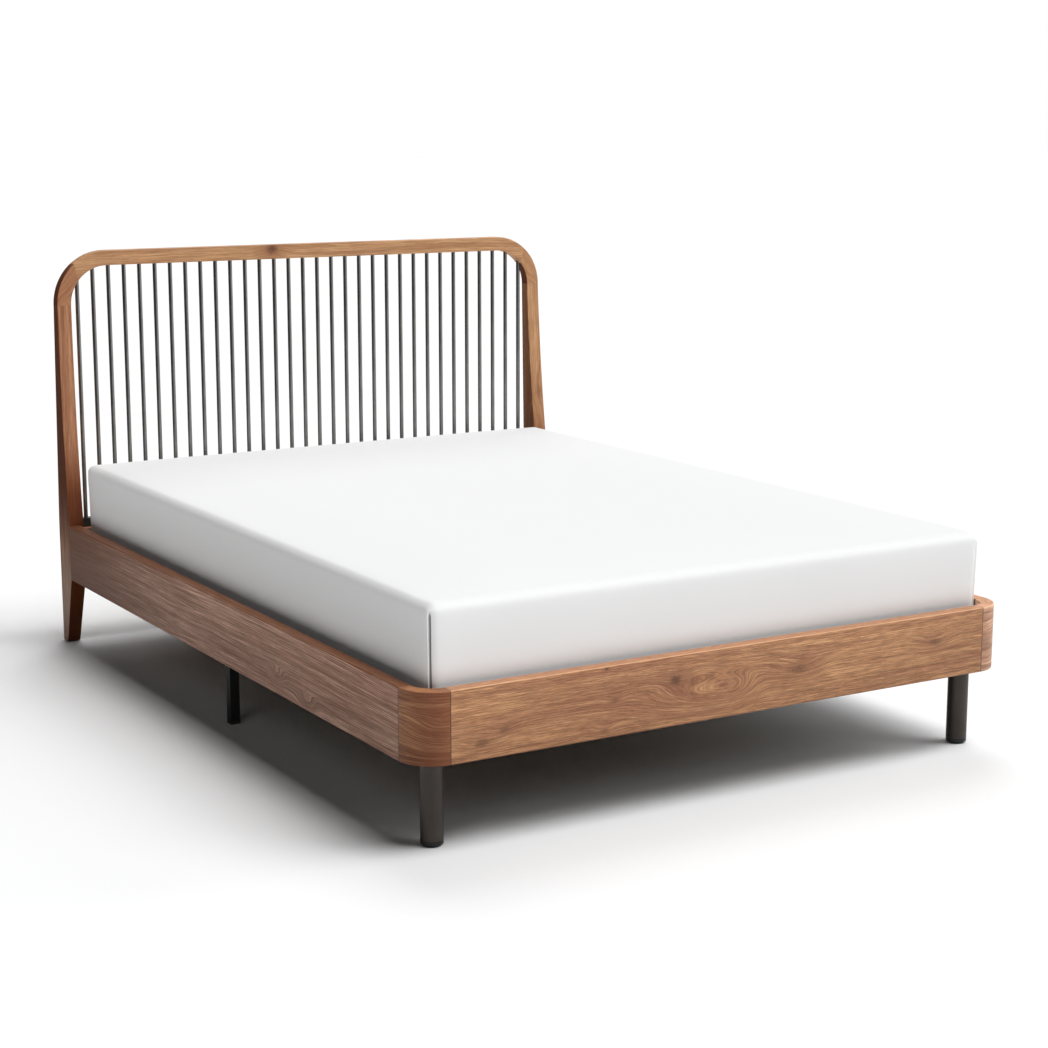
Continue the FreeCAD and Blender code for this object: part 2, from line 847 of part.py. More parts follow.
def mattress_section(inset, height):
    """Level section: four long arcs drawn in between four round corners."""
    half_x = mattress_half_width - inset
    half_y = (mattress_head_y - mattress_foot_y) / 2 - inset
    radius = mattress_corner_radius + inset / 2
    draw = mattress_end_draw
    middle_y = (mattress_head_y + mattress_foot_y) / 2
    eighth = radius * (1 - math.sqrt(0.5))
    flat_x = half_x - radius
    flat_y = half_y - radius

    def at(x, y):
        return Vector(x, middle_y + y, height)

    arcs = [
        (at(-flat_x, -half_y), at(0, -half_y + draw), at(flat_x, -half_y)),
        (at(flat_x, -half_y), at(half_x - eighth, -half_y + eighth), at(half_x, -flat_y)),
        (at(half_x, -flat_y), at(half_x - draw, 0), at(half_x, flat_y)),
        (at(half_x, flat_y), at(half_x - eighth, half_y - eighth), at(flat_x, half_y)),
        (at(flat_x, half_y), at(0, half_y - draw), at(-flat_x, half_y)),
        (at(-flat_x, half_y), at(-half_x + eighth, half_y - eighth), at(-half_x, flat_y)),
        (at(-half_x, flat_y), at(-half_x + draw, 0), at(-half_x, -flat_y)),
        (at(-half_x, -flat_y), at(-half_x + eighth, -half_y + eighth), at(-flat_x, -half_y)),
    ]
    return Part.Wire([Part.Arc(*arc).toShape() for arc in arcs])


def mattress():
    """Mattress: flat below, sides drawn in towards the bottom, top edge rounded into a low crown."""
    low = slat_top + webbing_thickness + mattress_rest_gap
    side_top = low + mattress_side_height
    roll_shares = (0, 0.3, 0.6, 1)
    side_shares = (0.25, 0.5, 0.75)
    crown_shares = (0.15, 0.4, 1)
    levels = []
    for share in roll_shares:
        turn = math.pi / 2 * share
        levels.append((
            mattress_side_taper + mattress_bottom_round * (1 - math.sin(turn)),
            low + mattress_bottom_round * (1 - math.cos(turn)),
        ))
    side_low = low + mattress_bottom_round
    side_run = side_top - mattress_top_round - side_low
    for share in side_shares:
        drawn = mattress_side_taper * (1 - share) + mattress_side_draw * math.sin(math.pi * share)
        levels.append((drawn, side_low + side_run * share))
    for share in roll_shares:
        turn = math.pi / 2 * share
        levels.append((
            mattress_top_round * (1 - math.cos(turn)),
            side_top - mattress_top_round * (1 - math.sin(turn)),
        ))
    for share in crown_shares:
        rise = math.sin(math.pi / 2 * share)
        levels.append((
            mattress_top_round + mattress_crown_reach * share,
            side_top + mattress_crown * rise,
        ))
    return Part.makeLoft([mattress_section(*level) for level in levels], True, True)


def build():
    """All the sub-parts by node name."""
    parts = {}

    dowel_holes = arch_dowels(fit_gap)
    mortises = [tenon_block(fit_gap), bar_block(fit_gap)]
    post_holes = dowel_holes + mortises + [bolt_hole(place) for place in bolt_places()]
    post = cut_all(headboard_post_right(), post_holes)
    arch_wood = cut_all(arch(), spindle_sockets() + dowel_holes)
    corner_space = arch_corner_region()
    corner = arch_wood.common(corner_space).Solids[0]
    top_rail = arch_wood.cut([corner_space, mirrored(corner_space)]).Solids[0]
    parts["headboard_post_right"] = post
    parts["headboard_post_left"] = mirrored(post)
    parts["headboard_corner_right"] = corner
    parts["headboard_corner_left"] = mirrored(corner)
    parts["headboard_top_rail"] = top_rail
    parts["headboard_spindles"] = group(spindles())
    parts["headboard_lower_bar"] = lower_bar()
    parts["headboard_dowels"] = group(arch_dowels(0))

    hanger_holes = [screw_hole(seat, way, short_screw_length) for seat, way in hanger_screw_seats()]
    parts["head_rail"] = cut_all(head_rail(), hanger_holes)

    ledger_seats = ledger_screw_seats()
    strap_seats = strap_screw_seats()
    beam_seats = beam_screw_seats()
    slat_seats = slat_screw_seats()
    ledger_holes = [screw_hole(seat, way, ledger_screw_length) for seat, way in ledger_seats]
    strap_holes = [screw_hole(seat, way, short_screw_length) for seat, way in strap_seats]
    beam_holes = [screw_hole(seat, way, short_screw_length) for seat, way in beam_seats]
    slat_holes = [screw_hole(seat, way, slat_screw_length) for seat, way in slat_seats]
    corner_holes = corner_dowels(fit_gap)

    side_holes = ledger_holes + beam_holes + strap_holes + corner_holes
    for place in bolt_places():
        side_holes += [bolt_hole(place), barrel_hole(place)]
    side = cut_all(side_rail_right(), side_holes)
    parts["side_rail_right"] = side
    parts["side_rail_left"] = mirrored(side)
    foot_holes = hanger_holes + corner_holes + strap_holes + [mirrored(hole) for hole in strap_holes]
    parts["foot_rail"] = cut_all(foot_rail(), foot_holes)
    corner = cut_all(foot_corner_right(), corner_holes)
    parts["foot_corner_right"] = corner
    parts["foot_corner_left"] = mirrored(corner)
    parts["foot_corner_dowels"] = group(corner_dowels(0))

    strap = cut_all(corner_strap_right(), strap_holes)
    parts["foot_corner_strap_right"] = strap
    parts["foot_corner_strap_left"] = mirrored(strap)

    bolts = [bed_bolt(place) for place in bolt_places()]
    nuts = [barrel_nut(place) for place in bolt_places()]
    parts["bed_bolts"] = group(bolts + [mirrored(bolt) for bolt in bolts])
    parts["barrel_nuts"] = group(nuts + [mirrored(nut) for nut in nuts])

    leg_seats = leg_screw_seats()
    leg_holes = [screw_hole(seat, way, leg_screw_length) for seat, way in leg_seats]
    leg = foot_leg_right()
    glide = glide_right()
    block = cut_all(leg_block_right(), leg_holes)
    screws = [wood_screw(seat, way, leg_screw_length) for seat, way in leg_seats]
    for name, piece in (("foot_leg", leg), ("foot_glide", glide), ("leg_block", block)):
        parts[name + "_right"] = piece
        parts[name + "_left"] = mirrored(piece)
    parts["leg_screws"] = group(screws + [mirrored(screw) for screw in screws])

    pad_half_out = half_width - post_pad_inset
    pad_half_in = half_width - post_width_floor + post_pad_inset
    pad = box(
        Vector(pad_half_in, head_face - post_depth_floor + post_pad_inset, 0),
        Vector(pad_half_out, head_face - post_pad_inset, post_pad_height),
    )
    parts["post_pads"] = group([pad, mirrored(pad)])

    ledger = cut_all(ledger_right(), ledger_holes + slat_holes)
    parts["ledger_right"] = ledger
    parts["ledger_left"] = mirrored(ledger)
    screws = [wood_screw(seat, way, ledger_screw_length) for seat, way in ledger_seats]
    parts["ledger_screws"] = group(screws + [mirrored(screw) for screw in screws])

    recesses = [slat_screw_recess(seat) for seat, way in slat_seats]
    places = slat_places()
    for number, y in enumerate(places, 1):
        board = slat(y)
        if number in (1, slat_count):
            board = cut_all(board, slat_holes + recesses)
        parts["slat_%02d" % number] = board
    webbing = webbing_right()
    parts["webbing_right"] = webbing
    parts["webbing_left"] = mirrored(webbing)
    parts["slat_screws"] = group([wood_screw(seat, way, slat_screw_length) for seat, way in slat_seats])

    parts["centre_rail"] = centre_rail()
    parts["centre_rail_hanger_foot"] = cut_all(hanger(foot_inner_y, 1), hanger_holes)
    parts["centre_rail_hanger_head"] = cut_all(hanger(head_rail_front_y, -1), hanger_holes)
    screws = [wood_screw(seat, way, short_screw_length) for seat, way in hanger_screw_seats()]
    for seat, way in strap_seats + beam_seats:
        screw = wood_screw(seat, way, short_screw_length)
        screws += [screw, mirrored(screw)]
    parts["short_screws"] = group(screws)

    beam = cut_all(cross_beam(), beam_holes + [mirrored(hole) for hole in beam_holes])
    bolts = []
    caps = []
    for name, x in support_places().items():
        seats = support_bolt_seats(x)
        holes = [support_bolt_hole(seat) for seat in seats]
        beam = beam.cut(holes)
        parts["support_leg_" + name] = support_leg(x).cut(holes)
        bolts += [support_bolt(seat) for seat in seats]
        caps.append(support_cap(x))
    parts["cross_beam"] = beam
    parts["support_leg_bolts"] = group(bolts)
    parts["support_leg_caps"] = group(caps)

    parts["mattress"] = mattress()
    return parts


def export(parts):
    """Write each sub-part to its own file."""
    os.makedirs("parts", exist_ok=True)
    for name, shape in parts.items():
        solids = shape.Solids
        print(name, "solids", len(solids), "valid", shape.isValid(), "volume", round(shape.Volume))
        if shape.ShapeType == "Compound" and len(solids) == 1:
            shape = solids[0]
        shape.exportStep("parts/" + name + ".step")
    print("files", len(parts))


export(build())
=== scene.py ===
import math
import bpy
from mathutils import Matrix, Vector


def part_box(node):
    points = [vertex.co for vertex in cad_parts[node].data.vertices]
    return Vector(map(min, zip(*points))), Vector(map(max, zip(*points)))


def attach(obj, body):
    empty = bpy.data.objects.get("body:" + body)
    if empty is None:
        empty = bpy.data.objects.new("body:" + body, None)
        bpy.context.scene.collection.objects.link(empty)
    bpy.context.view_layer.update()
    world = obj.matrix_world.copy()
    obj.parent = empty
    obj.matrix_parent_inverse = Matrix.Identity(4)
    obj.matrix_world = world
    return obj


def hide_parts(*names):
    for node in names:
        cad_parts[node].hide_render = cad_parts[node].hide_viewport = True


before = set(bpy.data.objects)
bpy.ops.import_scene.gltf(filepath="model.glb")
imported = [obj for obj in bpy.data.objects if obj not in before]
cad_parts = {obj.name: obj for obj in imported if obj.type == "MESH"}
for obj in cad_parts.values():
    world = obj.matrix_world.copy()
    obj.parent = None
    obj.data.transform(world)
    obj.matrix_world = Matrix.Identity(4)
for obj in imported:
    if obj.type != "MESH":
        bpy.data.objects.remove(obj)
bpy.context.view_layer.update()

# Wooden bed: bent oak frame, arched headboard with steel spindles, white mattress.
# Metres, +Z up. X runs across the bed, the foot end is at -Y and the headboard at +Y.
# A span is two values of one measure: where something starts to show and where it is full. A cloud is the
# scale, detail and roughness of a noise. A relief is its strength and its depth.

# Photograph's view: angles in degrees, lens and sensor in millimetres
CAMERA_PLACE = (-2.7659, -4.7999, 1.5177)
CAMERA_TURN = -30.897
CAMERA_TILT = -10.926
CAMERA_LENS = 72.97
CAMERA_SENSOR = 36.0
CAMERA_FAR = 200.0

# Lamps, each at a turn from +X and a height above the floor, in degrees
LIGHT_SPREAD = 30.0
LIGHT_DISTANCE = 5.0
LIGHTS = {
    "key_light": {"turn": 300.0, "height": 72.0, "strength": 1.36},
    "front_light": {"turn": 330.0, "height": 52.0, "strength": 1.06},
    "back_light": {"turn": 60.0, "height": 52.0, "strength": 0.95},
    "side_light": {"turn": 0.0, "height": 25.0, "strength": 0.65},
    "low_light": {"turn": 315.0, "height": 32.0, "strength": 0.34},
    "fill_light": {"turn": 225.0, "height": 30.0, "strength": 0.19},
}

# Dome round the scene. What it gives to mirror rays (shine) and to all others (fill) goes from a left to a
# right value over a span of directions.
DOME_SHINE_LEFT = 0.04
DOME_SHINE_RIGHT = 1.0
DOME_SHINE_SPAN = (-0.3, 0.8)
DOME_FILL_LEFT = (0.010, 0.010, 0.010, 1.0)
DOME_FILL_RIGHT = (0.050, 0.062, 0.078, 1.0)
DOME_FILL_SPAN = (-0.2, 0.8)
DOME_SEEN = (1.0, 1.0, 1.0, 1.0)

# Floor: the paint that the camera sees, the paint that diffuse rays meet near by and far away (bounce), and
# what mirror rays meet on the left, on the right and close to the bed (shine)
FLOOR_SIZE = 120.0
FLOOR_PAINT = (0.93, 0.95)
FLOOR_CLOUD_SCALE = 0.7
FLOOR_BOUNCE_NEAR = 0.08
FLOOR_BOUNCE_FAR = 0.99
FLOOR_BOUNCE_SPAN = (0.52, 0.78)
FLOOR_SHINE_LEFT = 0.05
FLOOR_SHINE_RIGHT_SPAN = (-0.5, 2.5)
FLOOR_SHINE_CLOSE = 0.70
FLOOR_SHINE_CLOSE_SPAN = (3.2, 2.2)
FLOOR_ROUGH = 0.9
FLOOR_GLOSS = 0.1

# Mattress: the form that it gets inside the CAD solid's box, and how far its stuffing may move it
MATTRESS_CROWN = 0.009
MATTRESS_TAPER = 0.004
MATTRESS_CORNER = 0.025
MATTRESS_CORNER_STEPS = 6
MATTRESS_TOP_ROUND = 0.023
MATTRESS_TOP_STEPS = 4
MATTRESS_BOTTOM_ROUND = 0.010
MATTRESS_BOTTOM_STEPS = 3
MATTRESS_PANEL = 0.060
MATTRESS_SMOOTHING = 2
MATTRESS_CAP = 0.004
MATTRESS_CROWN_REACH = 0.30
MATTRESS_HELD = 0.055
MATTRESS_HELD_FADE = 0.110
MATTRESS_STEP_DIGITS = 5
SAME_LEVEL = 0.001
UPRIGHT_EDGE = 0.1

# Cloth simulation that swells the mattress
STUFFING_FRAMES = 20
STUFFING = {
    "quality": 6,
    "mass": 0.4,
    "tension_stiffness": 40,
    "compression_stiffness": 20,
    "bending_stiffness": 6,
    "use_pressure": True,
    "uniform_pressure_force": 20.0,
}

# Sewn seam down each corner of the mattress
SEAM_CUTS = (-0.014, -0.009, -0.0062, -0.0045, -0.0028, -0.0014, 0.0, 0.0014, 0.0028, 0.0055, 0.010)
SEAM_REACH = 1.6 * MATTRESS_CORNER
SEAM_MOST_TILT = 0.8
SEAM_DEPTH = 0.0100
SEAM_HALF_WIDTH = 0.0017
SEAM_LIP = 0.0034
SEAM_LIP_PLACE = -0.0045
SEAM_LIP_WIDTH = 0.0018
SEAM_TOP_DROP = 0.018
SEAM_FADE = 0.009
SEAM_PUCKER = 0.0020
SEAM_PUCKER_REACH = 0.008
# Width of the painted shade in the groove of the seam
SEAM_SHADE_WIDTH = 0.0014

# Mattress cloth
COTTON = (0.970, 0.970, 0.968, 1.0)
# Upper faces of the mattress, darker as painted shade
COTTON_TOP_SHADE = (0.862, 0.862, 0.862, 1.0)
COTTON_BELOW = (0.100, 0.100, 0.100, 1.0)
# Painted shade in the groove of each corner seam
COTTON_SEAM_SHADE = (0.120, 0.118, 0.115, 1.0)

# Places taken from the CAD pieces
mattress_low, mattress_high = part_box("mattress")
corner_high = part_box("foot_corner_right")[1]
rail_low, rail_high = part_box("foot_rail")

half_width = corner_high.x
seam_x = rail_high.x
seam_y = corner_high.y
foot_face = rail_low.y
head_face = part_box("headboard_post_right")[1].y
arch_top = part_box("headboard_top_rail")[1].z
post_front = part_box("side_rail_right")[1].y


# Shader building

def put(tree, kind, inputs=None, **settings):
    """One shader node. inputs gives a socket's name or number its value, or the socket it is joined to."""
    made = tree.nodes.new(kind)
    for name, value in settings.items():
        setattr(made, name, value)
    for name, value in (inputs or {}).items():
        feed(tree, made.inputs[name], value)
    return made


def feed(tree, socket, value):
    """Joins an input to another node's output, or gives it a plain value."""
    if isinstance(value, bpy.types.NodeSocket):
        tree.links.new(value, socket)
    else:
        socket.default_value = value


def calc(tree, operation, first, second=0.0, third=0.0):
    """Result of a sum on one or more values."""
    return put(tree, "ShaderNodeMath", {0: first, 1: second, 2: third}, operation=operation).outputs[0]


def vector_calc(tree, operation, first, second):
    """Result of a sum on two vectors, part by part."""
    return put(tree, "ShaderNodeVectorMath", {0: first, 1: second}, operation=operation).outputs[0]


def length(tree, vector):
    """Length of a vector."""
    return put(tree, "ShaderNodeVectorMath", {0: vector}, operation="LENGTH").outputs["Value"]


def parts(tree, vector):
    """The X, Y and Z of a vector."""
    return put(tree, "ShaderNodeSeparateXYZ", {0: vector}).outputs


def between(tree, share, first, second):
    """Value between two numbers by a share."""
    return calc(tree, "MULTIPLY_ADD", share, second - first, first)


def ramp(tree, value, start, full, kind="SMOOTHSTEP"):
    """0 up to the start of a span, 1 from where it is full on. The span may run down as well as up."""
    return put(
        tree, "ShaderNodeMapRange", {"Value": value, "From Min": start, "From Max": full},
        interpolation_type=kind).outputs["Result"]


def blend(tree, share, first, second, mode="MIX"):
    """Colour between two colours by a share."""
    made = put(tree, "ShaderNodeMix", data_type="RGBA", blend_type=mode)
    sockets = [socket for socket in made.inputs if socket.type == "RGBA"]
    for socket, value in ((made.inputs[0], share), (sockets[0], first), (sockets[1], second)):
        feed(tree, socket, value)
    return next(socket for socket in made.outputs if socket.type == "RGBA")


def tinted(tree, colour, tone, where, share):
    """Colour with a tone laid over it, by a share of what where says."""
    return blend(tree, calc(tree, "MULTIPLY", where, share), colour, tone)


def scaled(colour, by):
    """Plain colour made darker or lighter."""
    return tuple(value * by for value in colour[:3]) + (1.0,)


def grey(tree, value):
    """Colour with the same red, green and blue."""
    return put(tree, "ShaderNodeCombineColor", {"Red": value, "Green": value, "Blue": value}).outputs["Color"]


def noise(tree, place, scale, detail=2.0, roughness=0.5, output="Fac"):
    """Cloudy pattern in space, about 0.5 on average."""
    return put(tree, "ShaderNodeTexNoise", {
        "Vector": place, "Scale": scale, "Detail": detail, "Roughness": roughness,
    }).outputs[output]


def stretched(tree, place, scale):
    """Place with each direction scaled."""
    return put(tree, "ShaderNodeMapping", {"Vector": place, "Scale": scale}).outputs["Vector"]


def object_place(tree):
    """Place in the bed's own frame, in metres."""
    return put(tree, "ShaderNodeTexCoord").outputs["Object"]


def facing(tree):
    """The X, Y and Z of the way that the surface faces."""
    return parts(tree, put(tree, "ShaderNodeNewGeometry").outputs["Normal"])


def material(name):
    """New material with its shader: (material, tree, shader)."""
    made = bpy.data.materials.new(name)
    made.use_nodes = True
    return made, made.node_tree, made.node_tree.nodes["Principled BSDF"]


def surface(tree, shader, colour, rough, shine):
    """Colour, roughness and strength of the gloss of a shader."""
    feed(tree, shader.inputs["Base Color"], colour)
    feed(tree, shader.inputs["Roughness"], rough)
    feed(tree, shader.inputs["Specular IOR Level"], shine)


def bumped(tree, shader, height, strength, depth):
    """Relief on a shader."""
    bump = put(tree, "ShaderNodeBump", {"Height": height, "Strength": strength, "Distance": depth})
    tree.links.new(bump.outputs["Normal"], shader.inputs["Normal"])


# Wood

# Turns that bring the grain of a board, or of a bent piece that runs from one way to another, onto X
GRAIN_TURNS = {
    "X": (0.0, 0.0, 0.0),
    "Y": (0.0, 0.0, -math.pi / 2),
    "Z": (0.0, math.pi / 2, 0.0),
    "XY": (0.0, 0.0, -math.pi / 4),
    "YX": (0.0, 0.0, math.pi / 4),
    "XZ": (0.0, math.pi / 4, 0.0),
    "ZX": (0.0, -math.pi / 4, 0.0),
}

# Layers of the figure: how often each changes in a metre along the grain, across the rings and sideways, then
# its noise's detail and roughness
HAIR = ((22.0, 480.0, 3.0), 3.0, 0.70)
STREAK = ((7.0, 230.0, 2.0), 3.0, 0.62)
BAND = ((1.6, 72.0, 1.2), 2.0, 0.50)
ZONE = ((1.1, 21.0, 1.0), 2.0, 0.50)
PORE = ((48.0, 560.0, 40.0), 1.0, 0.50)
ARC = ((1.2, 150.0, 1.2), 1.0, 0.50)

# Span in which each layer shows, and its share
STREAK_SPAN = (0.33, 0.62)
PALE_STREAK_SPAN = (0.40, 0.28)
PALE_STREAK_SHARE = 0.55
BAND_SPAN = (0.46, 0.66)
BAND_SHARE = 0.75
ZONE_SPAN = (0.44, 0.66)
ZONE_SHARE = 0.60
HAIR_SPAN = (0.30, 0.70)
HAIR_SHARE = 0.75
HAIR_DARK = (0.56, 0.50, 0.46, 1.0)
HAIR_LIGHT = (1.36, 1.40, 1.44, 1.0)
PORE_SPAN = (0.60, 0.72)
PORE_SHARE = 0.32
ARC_SPAN = (0.46, 0.60)
ARC_SHARE = 0.55

# Drift and ripple of the grain: how often, and how far
DRIFT_SCALE = (1.3, 4.0, 4.0)
DRIFT_REACH = 0.050
RIPPLE_SCALE = (9.0, 40.0, 40.0)
RIPPLE_REACH = 0.0050

# Knots, in knot radii from the middle: lifted rings, plume, dark core and the fainter halo round it
KNOT_LIFT_SPAN = (1.0, 0.0)
KNOT_PLUME_SPAN = (1.1, 0.5)
KNOT_CORE_SPAN = (0.42, 0.14)
KNOT_HALO_SPAN = (1.0, 0.25)
KNOT_HALO_SHARE = 0.70
KNOT_CLOUD = (160.0, 2.0, 0.6)
KNOT_CLOUD_REACH = 0.22

# Faces with a tone laid on them by the way that their normal points, some of it painted light and shade
RIM_SPAN = (0.80, 0.97)
RIM_SHARE = 0.85
RIM_LINES = 0.5
# Rounded edge beside an upper face, where a highlight is painted
EDGE_SPAN = (0.20, 0.50)
EDGE_END_SPAN = (0.97, 0.80)
# Faces that look one way, for painted shade and painted reflection
PAINTED_FACE_SPAN = (0.35, 0.85)
SEALED_SPAN = (-0.5, -0.9)
SEALED_SHARE = 0.9

# Seam between two boards: distance from its middle, share of its dark tone
BOARD_SEAM_SPAN = (0.0016, 0.0005)
BOARD_SEAM_SHARE = 0.75

# Gloss and relief
WOOD_ROUGH = (0.34, 0.54)
WOOD_HAIR_HEIGHT = 0.5
WOOD_PORE_HEIGHT = -0.8
WOOD_SEAM_HEIGHT = -2.0
WOOD_RELIEF = (0.5, 0.0006)

FRONT_OAK = {
    "light": (0.780, 0.420, 0.200, 1.0),
    "middle": (0.570, 0.270, 0.125, 1.0),
    "dark": (0.330, 0.130, 0.066, 1.0),
    "red": (0.400, 0.155, 0.088, 1.0),
    "knot": (0.120, 0.048, 0.028, 1.0),
}
# Left side rail: a darker, greyer copy of the oak, painted shade with a painted grey sheen
SHADE_AND_SHEEN_SIDE_OAK = {
    "light": (0.880, 0.550, 0.395, 1.0),
    "middle": (0.460, 0.228, 0.148, 1.0),
    "dark": (0.215, 0.080, 0.036, 1.0),
    "red": (0.420, 0.175, 0.110, 1.0),
    "knot": (0.110, 0.055, 0.038, 1.0),
}
# Left foot corner: a darker copy of the oak, as painted shade
SHADED_LEFT_CORNER_OAK = {
    "light": (0.730, 0.370, 0.180, 1.0),
    "middle": (0.430, 0.170, 0.078, 1.0),
    "dark": (0.210, 0.066, 0.030, 1.0),
    "red": (0.250, 0.078, 0.038, 1.0),
    "knot": (0.120, 0.048, 0.026, 1.0),
}
# Right foot corner: a lighter copy of the oak, as painted light
LIT_RIGHT_CORNER_OAK = {
    "light": (0.900, 0.560, 0.360, 1.0),
    "middle": (0.700, 0.390, 0.240, 1.0),
    "dark": (0.430, 0.200, 0.120, 1.0),
    "red": (0.520, 0.250, 0.150, 1.0),
    "knot": (0.200, 0.090, 0.055, 1.0),
}
HEAD_OAK = {
    "light": (0.680, 0.395, 0.205, 1.0),
    "middle": (0.520, 0.270, 0.130, 1.0),
    "dark": (0.350, 0.155, 0.074, 1.0),
    "red": (0.410, 0.180, 0.090, 1.0),
    "knot": (0.180, 0.070, 0.042, 1.0),
}
# Left post and bend: a darker copy of the head oak, as painted shade
SHADED_LEFT_BEND_OAK = {
    "light": (0.620, 0.330, 0.175, 1.0),
    "middle": (0.450, 0.205, 0.105, 1.0),
    "dark": (0.280, 0.110, 0.055, 1.0),
    "red": (0.340, 0.135, 0.070, 1.0),
    "knot": (0.180, 0.070, 0.042, 1.0),
}
SLAT_WOOD = {
    "light": (0.420, 0.345, 0.265, 1.0),
    "middle": (0.340, 0.270, 0.198, 1.0),
    "dark": (0.250, 0.185, 0.130, 1.0),
    "red": (0.280, 0.205, 0.145, 1.0),
    "knot": (0.160, 0.085, 0.048, 1.0),
}
RIM_OAK = (0.500, 0.230, 0.110, 1.0)
# Upper face of the left side rail, darker as painted shade
SHADED_SIDE_RIM_OAK = (0.235, 0.068, 0.012, 1.0)
# Dim painted highlight on the rounded edge of the left side rail, which is in shade
SIDE_EDGE_HIGHLIGHT_OAK = (0.180, 0.060, 0.022, 1.0)
# Upper face of the left foot corner, darker as painted shade
SHADED_CORNER_RIM_OAK = (0.400, 0.165, 0.065, 1.0)
# Front face of the left foot corner, darker as painted shade
SHADED_CORNER_FRONT_OAK = (0.270, 0.085, 0.042, 1.0)
SHADED_OAK = (0.125, 0.036, 0.014, 1.0)
# Painted shade on the right post's inner face, and low on the posts' front faces
INNER_SHADE_OAK = (0.175, 0.040, 0.010, 1.0)
# Pale tone low on the posts' left faces: painted reflection of the floor
FLOOR_REFLECTION_OAK = (0.820, 0.540, 0.380, 1.0)
SEALED_OAK = (0.085, 0.070, 0.062, 1.0)
BOARD_SEAM_DARK = (0.060, 0.025, 0.014, 1.0)

# Each knot: its place, its reach along and across the grain, how far it lifts the rings, how dark its core
# is, and how much further it reaches towards -X. One that reaches further also has the dark arcs of a plume.
FOOT_KNOTS = (
    ((-0.166, foot_face, 0.300), 0.080, 0.050, 0.008, 0.70, 1.0),
    ((0.178, foot_face, 0.278), 0.110, 0.048, 0.014, 0.50, 1.6),
    ((0.581, foot_face, 0.289), 0.100, 0.045, 0.010, 0.50, 1.0),
    ((-0.030, foot_face, 0.253), 0.140, 0.062, 0.044, 0.0, 2.4),
    ((-0.601, foot_face, 0.254), 0.060, 0.034, 0.006, 0.45, 1.0),
    ((-0.656, foot_face, 0.232), 0.085, 0.038, 0.007, 0.55, 1.0),
    ((-0.347, foot_face, 0.349), 0.020, 0.012, 0.003, 0.95, 1.0),
    ((-0.326, foot_face, 0.277), 0.045, 0.026, 0.005, 0.40, 1.0),
    ((-0.353, foot_face, 0.212), 0.060, 0.026, 0.006, 0.35, 1.0),
)
SIDE_KNOTS = (
    ((-half_width, -0.579, 0.211), 0.090, 0.036, 0.018, 0.10, 1.0),
    ((-half_width, -0.417, 0.239), 0.070, 0.034, 0.016, 0.20, 1.0),
    ((half_width, 0.250, 0.262), 0.060, 0.030, 0.016, 0.35, 1.0),
    ((half_width, -0.560, 0.300), 0.070, 0.034, 0.020, 0.20, 1.0),
)
CORNER_KNOTS = (
    ((-0.748, -1.100, 0.262), 0.070, 0.130, 0.026, 0.30, 1.0),
    ((0.748, -1.100, 0.262), 0.070, 0.130, 0.026, 0.30, 1.0),
)
ARCH_KNOTS = (
    ((-0.131, 1.070, arch_top - 0.012), 0.085, 0.075, 0.012, 0.95, 1.0),
    ((0.310, head_face, arch_top - 0.026), 0.060, 0.040, 0.010, 0.65, 1.0),
)
POST_KNOTS = (
    ((0.789, 1.040, 0.640), 0.120, 0.060, 0.012, 0.60, 1.0),
)


def wander(tree, along, scale, reach):
    """How far the grain drifts sideways from place to place."""
    cloud = noise(tree, stretched(tree, along, scale), 1.0, output="Color")
    centred = vector_calc(tree, "SUBTRACT", cloud, (0.5, 0.5, 0.5))
    return vector_calc(tree, "MULTIPLY", centred, (0.0, reach, reach))


def ring_distance(tree, along, heart, wavy):
    """Distance from the middle of the growth rings, in grain that drifts and ripples."""
    moved = along
    for scale, reach in ((DRIFT_SCALE, DRIFT_REACH), (RIPPLE_SCALE, RIPPLE_REACH)):
        moved = vector_calc(tree, "ADD", moved, wander(tree, along, scale, reach * wavy))
    off = vector_calc(tree, "SUBTRACT", moved, (0.0, heart[0], heart[1]))
    return length(tree, vector_calc(tree, "MULTIPLY", off, (0.0, 1.0, 1.0)))


def knot_shape(grain, reach_along, reach_across):
    """Scale that makes a knot a ball of radius 1.

    It is longer along the grain, and counts as upright where the grain runs along neither X nor Y.
    """
    along = 1 / reach_along
    across = 1 / reach_across
    return {"X": (along, across, across), "Y": (across, along, across)}.get(grain, (across, across, along))


def add_knots(tree, place, grain, ring, knots):
    """Lifts the rings round each knot: (ring distance, core, halo, plume), the last three as shares."""
    core = 0.0
    halo = 0.0
    plume = 0.0
    for spot, reach_along, reach_across, lift, depth, tail in knots:
        off = vector_calc(tree, "SUBTRACT", place, spot)
        off = vector_calc(tree, "MULTIPLY", off, knot_shape(grain, reach_along, reach_across))
        if tail > 1.0:
            mirrored = vector_calc(tree, "MULTIPLY", off, (-1 / tail, -1.0, -1.0))
            off = vector_calc(tree, "MAXIMUM", off, mirrored)
        far = length(tree, off)
        ring = calc(tree, "MULTIPLY_ADD", ramp(tree, far, *KNOT_LIFT_SPAN, kind="SMOOTHERSTEP"), lift, ring)
        if tail > 1.0:
            plume = calc(tree, "MAXIMUM", plume, ramp(tree, far, *KNOT_PLUME_SPAN))
        if depth:
            uneven = calc(tree, "MULTIPLY_ADD", noise(tree, place, *KNOT_CLOUD), KNOT_CLOUD_REACH, far)
            core = deepest(tree, core, ramp(tree, uneven, *KNOT_CORE_SPAN), depth)
            halo = deepest(tree, halo, ramp(tree, uneven, *KNOT_HALO_SPAN), depth)
    return ring, core, halo, plume


def deepest(tree, share, more, depth):
    """The larger of a share and of another one times its depth."""
    return calc(tree, "MAXIMUM", share, calc(tree, "MULTIPLY", more, depth))


def figure(tree, flow, layer, fine=1.0, long=1.0):
    """One layer of the grain's figure, in the flow of the grain."""
    (along, across, sideways), detail, roughness = layer
    return noise(tree, stretched(tree, flow, (along / long, across * fine, sideways)), 1.0, detail, roughness)


